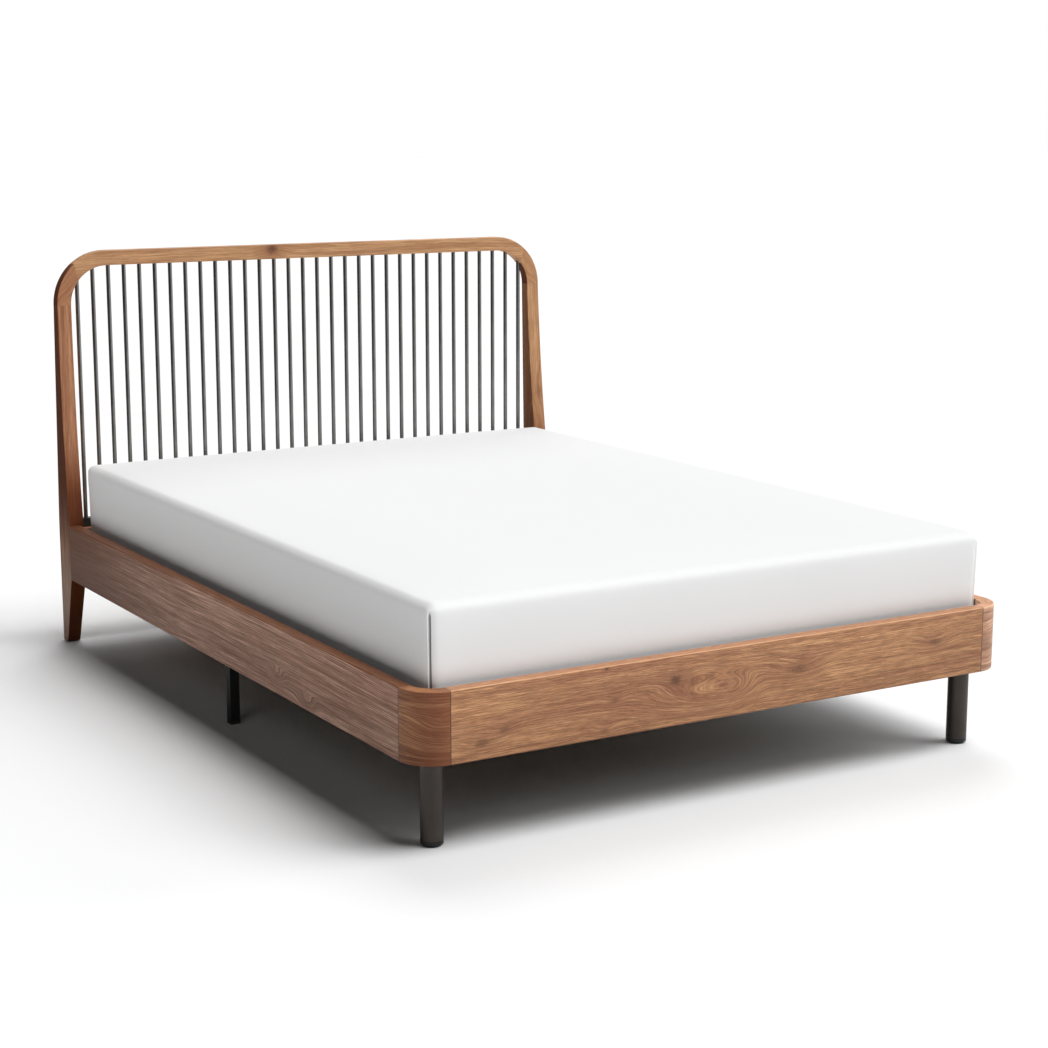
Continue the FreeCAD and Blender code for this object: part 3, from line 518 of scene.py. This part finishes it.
def face_tones(tree, colour, spot, tones, lines,
               rim=None, edge=None, edge_highlight=0.80, sealed=None, end_shade=None, stained=()):
    """Tones laid on some of a board's faces or along its length, much of it painted light and shade.

    rim is the tone of an upper face, edge that of the highlight painted on the rounded edge beside it, else
    the light tone, and edge_highlight how far the edge has it. sealed is the axis across a rail whose inner
    face has a dark sealer. end_shade is an axis, the places along it where painted shade starts and is
    darkest, and a share. Each painted tone is an axis and sign of the face, the heights where it starts and
    is full, a
    share and a tone: most are painted shade, the pale one low on a post's left face a painted reflection.
    """
    faced = facing(tree)
    up = faced["Z"]
    if rim:
        lined = blend(tree, RIM_LINES, rim, lines, "MULTIPLY")
        colour = tinted(tree, colour, lined, ramp(tree, up, *RIM_SPAN), RIM_SHARE)
        # Painted highlight on the rounded edge beside an upper face
        rounded = calc(tree, "MULTIPLY", ramp(tree, up, *EDGE_SPAN), ramp(tree, up, *EDGE_END_SPAN))
        colour = tinted(tree, colour, edge or tones["light"], rounded, edge_highlight)
    if sealed:
        outward = calc(tree, "MULTIPLY", faced[sealed], calc(tree, "SIGN", spot[sealed]))
        colour = tinted(tree, colour, SEALED_OAK, ramp(tree, outward, *SEALED_SPAN), SEALED_SHARE)
    # Painted shade, darker towards one end of the board
    if end_shade:
        axis, start, full, share = end_shade
        colour = tinted(tree, colour, tones["dark"], ramp(tree, spot[axis], start, full), share)
    # Painted shade and painted reflection on faces that look one way, between two heights
    for axis, sign, start, full, share, stain in stained:
        turned = ramp(tree, calc(tree, "MULTIPLY", faced[axis], sign), *PAINTED_FACE_SPAN)
        side = calc(tree, "MULTIPLY", turned, ramp(tree, spot["Z"], start, full))
        colour = tinted(tree, colour, stain, side, share)
    return colour


def board_seams(tree, spot, seams):
    """Share of the dark line at each seam, given as an axis and a place on it."""
    groove = 0.0
    for axis, at in seams:
        off = calc(tree, "ABSOLUTE", calc(tree, "SUBTRACT", spot[axis], at))
        groove = calc(tree, "MAXIMUM", groove, ramp(tree, off, *BOARD_SEAM_SPAN))
    return groove


def wood(name, grain, heart, tones=FRONT_OAK, knots=(), seams=(), shine=0.40,
         contrast=1.0, fine=1.0, long=1.0, wavy=1.0, bands=1.0, **faces):
    """Sawn board with its grain along one way.

    heart is the middle of the growth rings across the grain. contrast and bands are the strength of the
    narrow and of the wide figure, fine and long how narrow and how long its lines are, and wavy how far they
    wander. faces are the tones that face_tones takes.
    """
    made, tree, shader = material(name)
    place = object_place(tree)
    turn = GRAIN_TURNS[grain]
    along = put(tree, "ShaderNodeMapping", {"Vector": place, "Rotation": turn}).outputs["Vector"]
    ring = ring_distance(tree, along, heart, wavy)
    ring, core, halo, plume = add_knots(tree, place, grain, ring, knots)

    lengthwise = parts(tree, along)
    sideways = calc(tree, "ADD", lengthwise["Y"], lengthwise["Z"])
    flow = put(tree, "ShaderNodeCombineXYZ", {"X": lengthwise["X"], "Y": ring, "Z": sideways}).outputs[0]
    hair = figure(tree, flow, HAIR, fine, long)
    streak = figure(tree, flow, STREAK, fine, long)
    pores = ramp(tree, figure(tree, flow, PORE), *PORE_SPAN)
    lines = blend(tree, ramp(tree, hair, *HAIR_SPAN), HAIR_DARK, HAIR_LIGHT)

    colour = blend(tree, ramp(tree, streak, *STREAK_SPAN), tones["light"], tones["middle"])
    late = ramp(tree, figure(tree, flow, BAND), *BAND_SPAN)
    colour = tinted(tree, colour, tones["dark"], late, BAND_SHARE * bands)
    warm = ramp(tree, figure(tree, flow, ZONE), *ZONE_SPAN)
    colour = tinted(tree, colour, tones["red"], warm, ZONE_SHARE * bands)
    if any(tail > 1.0 for *_, tail in knots):
        arcs = calc(tree, "MULTIPLY", ramp(tree, figure(tree, flow, ARC), *ARC_SPAN), plume)
        colour = tinted(tree, colour, tones["red"], arcs, ARC_SHARE)
    pale = ramp(tree, streak, *PALE_STREAK_SPAN)
    colour = tinted(tree, colour, tones["light"], pale, PALE_STREAK_SHARE * contrast)
    colour = blend(tree, HAIR_SHARE * contrast, colour, lines, "MULTIPLY")
    colour = tinted(tree, colour, tones["dark"], pores, PORE_SHARE)
    if knots:
        colour = tinted(tree, colour, tones["dark"], halo, KNOT_HALO_SHARE)
        colour = blend(tree, core, colour, tones["knot"])

    spot = parts(tree, place)
    colour = face_tones(tree, colour, spot, tones, lines, **faces)
    groove = board_seams(tree, spot, seams)
    if seams:
        colour = tinted(tree, colour, BOARD_SEAM_DARK, groove, BOARD_SEAM_SHARE)

    surface(tree, shader, colour, between(tree, streak, *WOOD_ROUGH), shine)
    relief = calc(tree, "MULTIPLY", hair, WOOD_HAIR_HEIGHT)
    relief = calc(tree, "MULTIPLY_ADD", pores, WOOD_PORE_HEIGHT, relief)
    relief = calc(tree, "MULTIPLY_ADD", groove, WOOD_SEAM_HEIGHT, relief)
    bumped(tree, shader, relief, *WOOD_RELIEF)
    return made


# Metal, plastic, felt and cloth

PLAIN_SHINE = 0.5
CLOUD_SPAN = (0.3, 0.7)

STEEL_PEEL = (2600.0, 2.0, 0.6)
STEEL_CLOUD = (14.0, 3.0, 0.55)
STEEL_DARKER = 0.78
STEEL_ROUGH_CHANGE = 0.05
STEEL_RELIEF = (0.12, 0.0002)

PLASTIC_CLOUD = (60.0, 2.0, 0.5)
PLASTIC_LIGHTER = 1.5
PLASTIC_ROUGH_CHANGE = 0.08

CLOTH_SLUB = (900.0, 2.0, 0.6)
CLOTH_CLOUD = (3.5, 2.0, 0.5)
CLOTH_DARKER = 0.985
CLOTH_ABOVE_SPAN = (0.55, 0.98)
CLOTH_BELOW_SPAN = (-0.80, -0.95)
CLOTH_ROUGH = 0.85
CLOTH_SHINE = 0.2
CLOTH_SHEEN_ROUGH = 0.6
CLOTH_WEAVE_HEIGHT = 0.25
CLOTH_RELIEF_DEPTH = 0.0003


def painted_steel(name, colour, rough, metal, shine=PLAIN_SHINE):
    """Powder coated or plated steel with a fine orange peel."""
    made, tree, shader = material(name)
    place = object_place(tree)
    peel = noise(tree, place, *STEEL_PEEL)
    cloud = ramp(tree, noise(tree, place, *STEEL_CLOUD), *CLOUD_SPAN)
    tone = blend(tree, cloud, scaled(colour, STEEL_DARKER), colour)
    gloss = between(tree, peel, rough - STEEL_ROUGH_CHANGE, rough + STEEL_ROUGH_CHANGE)
    surface(tree, shader, tone, gloss, shine)
    shader.inputs["Metallic"].default_value = metal
    bumped(tree, shader, peel, *STEEL_RELIEF)
    return made


def moulded(name, colour, rough):
    """Moulded plastic with a faint cloudiness."""
    made, tree, shader = material(name)
    cloud = noise(tree, object_place(tree), *PLASTIC_CLOUD)
    tone = blend(tree, cloud, colour, scaled(colour, PLASTIC_LIGHTER))
    surface(tree, shader, tone, between(tree, cloud, rough, rough + PLASTIC_ROUGH_CHANGE), PLAIN_SHINE)
    return made


def woven(name, colour, threads, sheen, strength, above=None, below=None, seam=None):
    """Cloth of crossed threads.

    threads is how many there are to a metre, sheen how much it has, and strength that of its relief. above is
    a darker colour painted on an upper face as shade, below that of an underside, and seam that of the
    painted shade in a seam's groove, which the piece's painted_seam_shade attribute marks.
    """
    made, tree, shader = material(name)
    place = object_place(tree)
    spot = parts(tree, place)
    turn = threads * 2 * math.pi
    waves = [calc(tree, "SINE", calc(tree, "MULTIPLY", spot[axis], turn)) for axis in ("X", "Y", "Z")]
    weave = 0.0
    for first, second in ((0, 1), (0, 2), (1, 2)):
        weave = calc(tree, "MULTIPLY_ADD", waves[first], waves[second], weave)
    cloud = ramp(tree, noise(tree, place, *CLOTH_CLOUD), *CLOUD_SPAN)
    tone = blend(tree, cloud, scaled(colour, CLOTH_DARKER), colour)
    up = facing(tree)["Z"]
    if above:
        # A darker colour on upper faces: painted shade
        tone = blend(tree, ramp(tree, up, *CLOTH_ABOVE_SPAN), tone, above)
    if below:
        tone = blend(tree, ramp(tree, up, *CLOTH_BELOW_SPAN), tone, below)
    # Painted shade in the seam's groove, where the piece's attribute marks it
    if seam:
        groove_shade = put(tree, "ShaderNodeAttribute", attribute_name="painted_seam_shade").outputs["Fac"]
        tone = blend(tree, groove_shade, tone, seam)
    surface(tree, shader, tone, CLOTH_ROUGH, CLOTH_SHINE)
    shader.inputs["Sheen Weight"].default_value = sheen
    shader.inputs["Sheen Roughness"].default_value = CLOTH_SHEEN_ROUGH
    relief = calc(tree, "MULTIPLY_ADD", weave, CLOTH_WEAVE_HEIGHT, noise(tree, place, *CLOTH_SLUB))
    bumped(tree, shader, relief, strength, CLOTH_RELIEF_DEPTH)
    return made


# Finishes of the CAD pieces

SLATS = 14


def finish_all(names, made):
    """The same material on several CAD pieces."""
    for name in names:
        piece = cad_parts[name]
        if not piece.material_slots:
            piece.data.materials.append(made)
        for held in piece.material_slots:
            held.material = made


def two_sides(name):
    """Names of the left and the right piece of a pair."""
    return [name + "_left", name + "_right"]


def dress_rails():
    """Oak of the four rails. The side rails have painted shade towards the headboard."""
    finish_all(["foot_rail"], wood(
        "foot_rail_oak", "X", heart=(-0.60, -0.60), knots=FOOT_KNOTS, seams=(("X", -seam_x), ("X", seam_x)),
        contrast=1.1, fine=1.45, long=0.80, wavy=0.4, bands=0.55, rim=RIM_OAK, sealed="Y"))
    side_rails = {
        # Left rail: darker copies of the oak, rim and edge highlight as painted shade, greyer as painted
        # sheen
        "side_rail_left": {
            "tones": SHADE_AND_SHEEN_SIDE_OAK, "rim": SHADED_SIDE_RIM_OAK, "edge": SIDE_EDGE_HIGHLIGHT_OAK, "end_shade": ("Y", 0.10, 1.00, 0.90)},
        "side_rail_right": {"tones": FRONT_OAK, "rim": RIM_OAK, "end_shade": ("Y", 0.10, 1.00, 0.20)},
    }
    for name, own in side_rails.items():
        finish_all([name], wood(
            name + "_oak", "Y", heart=(0.0, -1.1), knots=SIDE_KNOTS, seams=(("Y", seam_y), ("Y", post_front)),
            shine=0.15, contrast=1.30, fine=2.1, long=2.0, wavy=0.35, bands=0.5, sealed="X", **own))
    finish_all(["head_rail"], wood("head_rail_oak", "X", heart=(1.00, -0.60)))


def dress_foot_corners():
    """Oak of the two bent corners at the foot end."""
    foot_corners = {
        # Left corner: darker oak and rim as painted shade, fainter painted edge highlight; right: lighter,
        # painted light
        "foot_corner_left": {
            "grain": "YX", "tones": SHADED_LEFT_CORNER_OAK, "rim": SHADED_CORNER_RIM_OAK, "edge_highlight": 0.15,
            "stained": (("Y", -1.0, 0.0, 0.1, 0.45, SHADED_CORNER_FRONT_OAK),)},
        "foot_corner_right": {"grain": "XY", "tones": LIT_RIGHT_CORNER_OAK, "rim": RIM_OAK, "edge_highlight": 0.80},
    }
    for name, own in foot_corners.items():
        finish_all([name], wood(
            name + "_oak", heart=(-1.30, 0.02), knots=CORNER_KNOTS, shine=0.25, fine=1.4,
            seams=(("X", -seam_x), ("X", seam_x), ("Y", seam_y)), **own))


def dress_headboard():
    """Oak of the posts and of the arch, with painted shade on faces that look left or to the foot end."""
    # Each post: its oak, and the painted shade on its left face
    posts = {
        "headboard_post_left": (SHADED_LEFT_BEND_OAK, ("X", -1.0, 0.14, 0.50, 0.95, SHADED_OAK)),
        "headboard_post_right": (HEAD_OAK, ("X", -1.0, 0.38, 0.50, 0.66, INNER_SHADE_OAK)),
    }
    for name, (tones, side_shade) in posts.items():
        finish_all([name], wood(
            name + "_oak", "Z", heart=(1.02, -0.70), tones=tones, knots=POST_KNOTS, shine=0.18, contrast=0.85,
            fine=1.4, long=1.2, bands=0.70, stained=(
                side_shade,
                # Lighter towards the floor on a post's left face: painted reflection
                ("X", -1.0, 0.32, 0.04, 0.75, FLOOR_REFLECTION_OAK),
                # Painted shade on the front faces, low down and beside the mattress
                ("Y", -1.0, 0.36, 0.28, 0.45, INNER_SHADE_OAK),
                ("Y", -1.0, 0.62, 0.42, 0.84, INNER_SHADE_OAK),
            )))
    bends = {
        "headboard_corner_left": ("XZ", SHADED_LEFT_BEND_OAK),
        "headboard_corner_right": ("ZX", HEAD_OAK),
    }
    for name, (grain, tones) in bends.items():
        # Painted shade on the left face of each bend
        finish_all([name], wood(
            name + "_oak", grain, heart=(1.0, 0.2), tones=tones, shine=0.08, contrast=0.9, fine=1.6,
            long=1.2, bands=0.45, stained=(("X", -1.0, 0.38, 0.50, 0.95, SHADED_OAK),)))
    finish_all(["headboard_top_rail"], wood(
        "arch_oak", "X", heart=(1.02, 1.90), tones=HEAD_OAK, knots=ARCH_KNOTS, shine=0.15, contrast=0.8,
        fine=1.4, long=1.2, bands=0.65))


def dress_inside():
    """Planed wood of the pieces under the mattress, their felt and webbing, and the dowels."""
    planed = wood("planed_slat_wood", "X", heart=(0.3, -0.9), tones=SLAT_WOOD, contrast=0.7)
    finish_all(["slat_%02d" % number for number in range(1, SLATS + 1)] + two_sides("leg_block"), planed)
    long_planed = wood("planed_rail_wood", "Y", heart=(0.3, -0.9), tones=SLAT_WOOD, contrast=0.7)
    finish_all(["centre_rail"] + two_sides("ledger"), long_planed)
    dowel = wood("dowel_beech", "X", heart=(0.1, 0.1), tones=SLAT_WOOD, contrast=0.4)
    finish_all(["headboard_dowels", "foot_corner_dowels"], dowel)
    felt = woven("pad_felt", (0.05, 0.045, 0.04, 1.0), threads=700.0, sheen=0.3, strength=0.6)
    finish_all(["post_pads"], felt)
    tape = woven("webbing_tape", (0.62, 0.60, 0.54, 1.0), threads=420.0, sheen=0.1, strength=0.8)
    finish_all(two_sides("webbing"), tape)


def dress_metal():
    """Steel of the legs, spindles, bar, beam and hardware, and the plastic caps of the legs."""
    bronze = painted_steel("dark_bronze_steel", (0.096, 0.081, 0.069, 1.0), rough=0.36, metal=0.60)
    finish_all(two_sides("foot_leg"), bronze)
    spindle = painted_steel("black_spindle_steel", (0.260, 0.258, 0.248, 1.0), rough=0.28, metal=1.0)
    finish_all(["headboard_spindles"], spindle)
    bar = painted_steel("black_bar_steel", (0.030, 0.030, 0.029, 1.0), rough=0.35, metal=0.0)
    finish_all(["headboard_lower_bar"], bar)
    beam = painted_steel("black_beam_steel", (0.006, 0.006, 0.006, 1.0), rough=0.45, metal=0.0, shine=0.3)
    finish_all(["cross_beam"] + ["support_leg_" + side for side in ("left", "centre", "right")], beam)
    plated = painted_steel("zinc_plated_steel", (0.56, 0.56, 0.54, 1.0), rough=0.30, metal=1.0)
    finish_all(two_sides("foot_corner_strap") + [
        "bed_bolts", "barrel_nuts", "leg_screws", "ledger_screws", "slat_screws", "short_screws",
        "support_leg_bolts", "centre_rail_hanger_foot", "centre_rail_hanger_head"], plated)
    glide = moulded("gloss_glide_plastic", (0.010, 0.010, 0.010, 1.0), rough=0.10)
    finish_all(two_sides("foot_glide"), glide)
    cap = moulded("cap_plastic", (0.012, 0.012, 0.012, 1.0), rough=0.38)
    finish_all(["support_leg_caps"], cap)


# Mattress

def only(piece):
    """Selects one object and nothing else."""
    bpy.ops.object.select_all(action="DESELECT")
    piece.select_set(True)
    bpy.context.view_layer.objects.active = piece


def apply_all(piece):
    """Bakes every modifier of a piece into its mesh."""
    only(piece)
    for modifier in list(piece.modifiers):
        bpy.ops.object.modifier_apply(modifier=modifier.name)


def select_parts(piece, kind, wanted):
    """Leaves the piece in edit mode with only those of its edges or faces selected that a test accepts."""
    bpy.ops.object.mode_set(mode="EDIT")
    bpy.ops.mesh.select_mode(type=kind)
    bpy.ops.mesh.select_all(action="DESELECT")
    bpy.ops.object.mode_set(mode="OBJECT")
    for part in piece.data.edges if kind == "EDGE" else piece.data.polygons:
        part.select = wanted(part)
    bpy.ops.object.mode_set(mode="EDIT")


def select_edges(piece, wanted):
    """As select_parts, with a test on the places of an edge's two ends."""
    select_parts(piece, "EDGE", lambda edge: wanted(*(piece.data.vertices[end].co for end in edge.vertices)))


def round_edges(piece, wanted, width, steps):
    """Rounds the edges that a test accepts."""
    select_edges(piece, wanted)
    bpy.ops.mesh.bevel(offset=width, segments=steps, affect="EDGES")
    bpy.ops.object.mode_set(mode="OBJECT")


def cut_panels(piece, low, size):
    """Divides the piece into panels, with planes across each axis."""
    only(piece)
    bpy.ops.object.mode_set(mode="EDIT")
    for axis in range(3):
        count = round(size[axis] / MATTRESS_PANEL)
        across = Vector([float(axis == which) for which in range(3)])
        for number in range(1, count):
            place = low.copy()
            place[axis] += size[axis] * number / count
            bpy.ops.mesh.select_all(action="SELECT")
            bpy.ops.mesh.bisect(plane_co=place, plane_no=across)
    bpy.ops.object.mode_set(mode="OBJECT")


def mattress_block():
    """Closed block of the mattress, narrower below, with rounded corners and edges, in panels."""
    low = mattress_low
    high = mattress_high - Vector((0, 0, MATTRESS_CROWN))
    middle = (low + high) / 2
    size = high - low
    bpy.ops.object.select_all(action="DESELECT")
    bpy.ops.mesh.primitive_cube_add(size=1, location=middle)
    block = bpy.context.object
    block.name = "mattress_cover"
    block.scale = size
    bpy.ops.object.transform_apply(location=True, rotation=False, scale=True)

    def upright(first, second):
        return abs(first.z - second.z) > UPRIGHT_EDGE

    def at_top(first, second):
        return min(first.z, second.z) > high.z - SAME_LEVEL

    def at_bottom(first, second):
        return max(first.z, second.z) < low.z + SAME_LEVEL

    select_edges(block, at_bottom)
    narrower = [1 - 2 * MATTRESS_TAPER / size[axis] for axis in (0, 1)]
    bpy.ops.transform.resize(value=(*narrower, 1), center_override=middle)
    bpy.ops.object.mode_set(mode="OBJECT")
    round_edges(block, upright, MATTRESS_CORNER, MATTRESS_CORNER_STEPS)
    round_edges(block, at_top, MATTRESS_TOP_ROUND, MATTRESS_TOP_STEPS)
    round_edges(block, at_bottom, MATTRESS_BOTTOM_ROUND, MATTRESS_BOTTOM_STEPS)
    cut_panels(block, low, size)
    return block


def limited(value, low, high):
    """Value held between two limits."""
    return max(low, min(high, value))


def fill_mattress(block):
    """Swells the block as stuffing does, only outwards and upwards, and up to a limit at each point.

    The sewn corners hold it. The steps are rounded, because the simulation differs a little from run to run.
    """
    start = [point.co.copy() for point in block.data.vertices]
    cloth = block.modifiers.new("stuffing", "CLOTH")
    for name, value in STUFFING.items():
        setattr(cloth.settings, name, value)
    cloth.settings.effector_weights.gravity = 0
    cloth.collision_settings.use_collision = False
    for number in range(1, STUFFING_FRAMES + 1):
        bpy.context.scene.frame_set(number)
    apply_all(block)
    bpy.context.scene.frame_set(1)
    middle = (mattress_low + mattress_high) / 2
    half = (mattress_high - mattress_low) / 2
    for point, before in zip(block.data.vertices, start):
        moved = point.co - before
        inward = [half[axis] - abs(before[axis] - middle[axis]) for axis in (0, 1)]
        free = limited(min(inward) / MATTRESS_CROWN_REACH, 0.0, 1.0)
        loose = limited((max(inward) - MATTRESS_HELD) / MATTRESS_HELD_FADE, 0.0, 1.0)
        rise = MATTRESS_CROWN * math.sin(math.pi / 2 * free) * loose
        level = abs(before.z - middle.z) / half.z
        swell = MATTRESS_CAP * max(0.0, 1 - level ** 2) * loose
        for axis in (0, 1):
            outward = math.copysign(1.0, before[axis] - middle[axis])
            most = swell if inward[axis] < inward[1 - axis] else 0.0
            moved[axis] = outward * limited(outward * moved[axis], 0.0, most)
        moved.z = limited(moved.z, 0.0, rise) if before.z > middle.z else 0.0
        point.co = before + Vector([round(step, MATTRESS_STEP_DIGITS) for step in moved])


def corner_frames():
    """For each corner: the middle of its round in plan, the way out and the way across the seam."""
    frames = []
    for side, edge_x in ((-1, mattress_low.x), (1, mattress_high.x)):
        for end, edge_y in ((-1, mattress_low.y), (1, mattress_high.y)):
            middle = Vector((edge_x - side * MATTRESS_CORNER, edge_y - end * MATTRESS_CORNER, 0))
            out = Vector((side, end, 0)).normalized()
            frames.append((middle, out, Vector((-out.y, out.x, 0))))
    return frames


def bell(value, width):
    """1 at 0, falling smoothly to nothing a few widths away."""
    return math.exp(-(value / width) ** 2)


def cut_corner(block, middle, out, across):
    """Adds upright lines of edges beside one corner's seam."""
    def in_corner(face):
        off = face.center - middle
        off.z = 0
        return off.length < SEAM_REACH and off.dot(out) > 0 and abs(face.normal.z) < SEAM_MOST_TILT

    for offset in SEAM_CUTS:
        select_parts(block, "FACE", in_corner)
        bpy.ops.mesh.bisect(plane_co=middle + across * offset, plane_no=across)
    bpy.ops.object.mode_set(mode="OBJECT")


def sew_corners(block):
    """Presses a narrow seam into each corner, with a raised lip on one side and a pucker at its top."""
    frames = corner_frames()
    for middle, out, across in frames:
        cut_corner(block, middle, out, across)
    # Marks where painted shade darkens the groove of each seam
    groove_shade = block.data.attributes.new("painted_seam_shade", "FLOAT", "POINT")
    seam_top = mattress_high.z - MATTRESS_CROWN - SEAM_TOP_DROP
    for point in block.data.vertices:
        for middle, out, across in frames:
            off = point.co - middle
            level = off.z
            off.z = 0
            if off.length > SEAM_REACH or off.dot(out) < 0:
                continue
            aside = off.dot(across)
            share = limited((seam_top - level) / SEAM_FADE, 0.0, 1.0)
            move = -SEAM_DEPTH * bell(aside, SEAM_HALF_WIDTH) * share
            move += SEAM_LIP * bell(aside - SEAM_LIP_PLACE, SEAM_LIP_WIDTH) * share
            pucker = bell(level - seam_top, SEAM_PUCKER_REACH)
            move += SEAM_PUCKER * pucker * bell(aside - SEAM_LIP_PLACE, SEAM_PUCKER_REACH)
            groove_shade.data[point.index].value = bell(aside, SEAM_SHADE_WIDTH) * share
            point.co += out * move


def make_mattress():
    """White mattress in its cover, full and firm, with a sewn seam down each corner."""
    block = mattress_block()
    fill_mattress(block)
    smooth = block.modifiers.new("smooth", "SUBSURF")
    smooth.levels = MATTRESS_SMOOTHING
    smooth.render_levels = MATTRESS_SMOOTHING
    apply_all(block)
    sew_corners(block)
    only(block)
    bpy.ops.object.shade_smooth()
    block.data.materials.append(woven(
        "white_mattress_cotton", COTTON, threads=520.0, sheen=0.15, strength=0.35,
        above=COTTON_TOP_SHADE, below=COTTON_BELOW, seam=COTTON_SEAM_SHADE))
    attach(block, "mattress")
    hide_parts("mattress")


# Floor, light and camera

def floor_paint():
    """White paint, with shades of its own for diffuse and for mirror rays."""
    made, tree, shader = material("studio_floor_paint")
    place = object_place(tree)
    path = put(tree, "ShaderNodeLightPath").outputs
    paint = between(tree, noise(tree, place, FLOOR_CLOUD_SCALE), *FLOOR_PAINT)
    far = ramp(tree, path["Ray Length"], *FLOOR_BOUNCE_SPAN)
    bounce = between(tree, far, FLOOR_BOUNCE_NEAR, FLOOR_BOUNCE_FAR)
    right = ramp(tree, parts(tree, place)["X"], *FLOOR_SHINE_RIGHT_SPAN)
    close = ramp(tree, length(tree, place), *FLOOR_SHINE_CLOSE_SPAN)
    close = calc(tree, "MULTIPLY", close, FLOOR_SHINE_CLOSE)
    mirrored = calc(tree, "MAXIMUM", calc(tree, "MAXIMUM", right, close), FLOOR_SHINE_LEFT)
    lit = calc(tree, "MULTIPLY", path["Is Diffuse Ray"], calc(tree, "SUBTRACT", bounce, paint))
    shown = calc(tree, "MULTIPLY", path["Is Glossy Ray"], calc(tree, "SUBTRACT", mirrored, paint))
    shade = calc(tree, "ADD", calc(tree, "ADD", paint, lit), shown)
    surface(tree, shader, grey(tree, shade), FLOOR_ROUGH, FLOOR_GLOSS)
    return made


def make_floor():
    """Plain white floor, far larger than the view."""
    bpy.ops.object.select_all(action="DESELECT")
    bpy.ops.mesh.primitive_plane_add(size=FLOOR_SIZE, location=(0, 0, 0))
    floor = bpy.context.object
    floor.name = "studio_floor"
    floor.data.materials.append(floor_paint())


def make_lights():
    """Soft lamps round the bed."""
    for name, light in LIGHTS.items():
        turn = math.radians(light["turn"])
        height = math.radians(light["height"])
        level = math.cos(height)
        source = Vector((level * math.cos(turn), level * math.sin(turn), math.sin(height)))
        bpy.ops.object.light_add(type="SUN", location=source * LIGHT_DISTANCE)
        lamp = bpy.context.object
        lamp.name = name
        lamp.data.energy = light["strength"]
        lamp.data.angle = math.radians(LIGHT_SPREAD)
        lamp.rotation_euler = source.to_track_quat("Z", "Y").to_euler()


def make_dome():
    """Dome that is white to the camera, dim to the scene and pale on the right to what mirrors it."""
    world = bpy.data.worlds.new("pale_dome")
    bpy.context.scene.world = world
    world.use_nodes = True
    tree = world.node_tree
    path = put(tree, "ShaderNodeLightPath").outputs
    across = parts(tree, put(tree, "ShaderNodeTexCoord").outputs["Generated"])["X"]
    shine = between(tree, ramp(tree, across, *DOME_SHINE_SPAN), DOME_SHINE_LEFT, DOME_SHINE_RIGHT)
    ambient = blend(tree, ramp(tree, across, *DOME_FILL_SPAN), DOME_FILL_LEFT, DOME_FILL_RIGHT)
    seen = blend(tree, path["Is Glossy Ray"], ambient, grey(tree, shine))
    seen = blend(tree, path["Is Camera Ray"], seen, DOME_SEEN)
    tree.links.new(seen, tree.nodes["Background"].inputs["Color"])


def make_camera():
    """Camera at the photograph's place."""
    bpy.ops.object.camera_add(location=CAMERA_PLACE)
    camera = bpy.context.object
    camera.name = "photo_camera"
    camera.rotation_euler = (math.radians(90 + CAMERA_TILT), 0, math.radians(CAMERA_TURN))
    camera.data.lens = CAMERA_LENS
    camera.data.sensor_width = CAMERA_SENSOR
    camera.data.clip_end = CAMERA_FAR
    bpy.context.scene.camera = camera


def plain_colours():
    """Shows the render's colours as they are."""
    bpy.context.scene.view_settings.view_transform = "Standard"
    bpy.context.scene.view_settings.look = "None"


dress_rails()
dress_foot_corners()
dress_headboard()
dress_inside()
dress_metal()
make_mattress()
make_floor()
make_lights()
make_dome()
make_camera()
plain_colours()
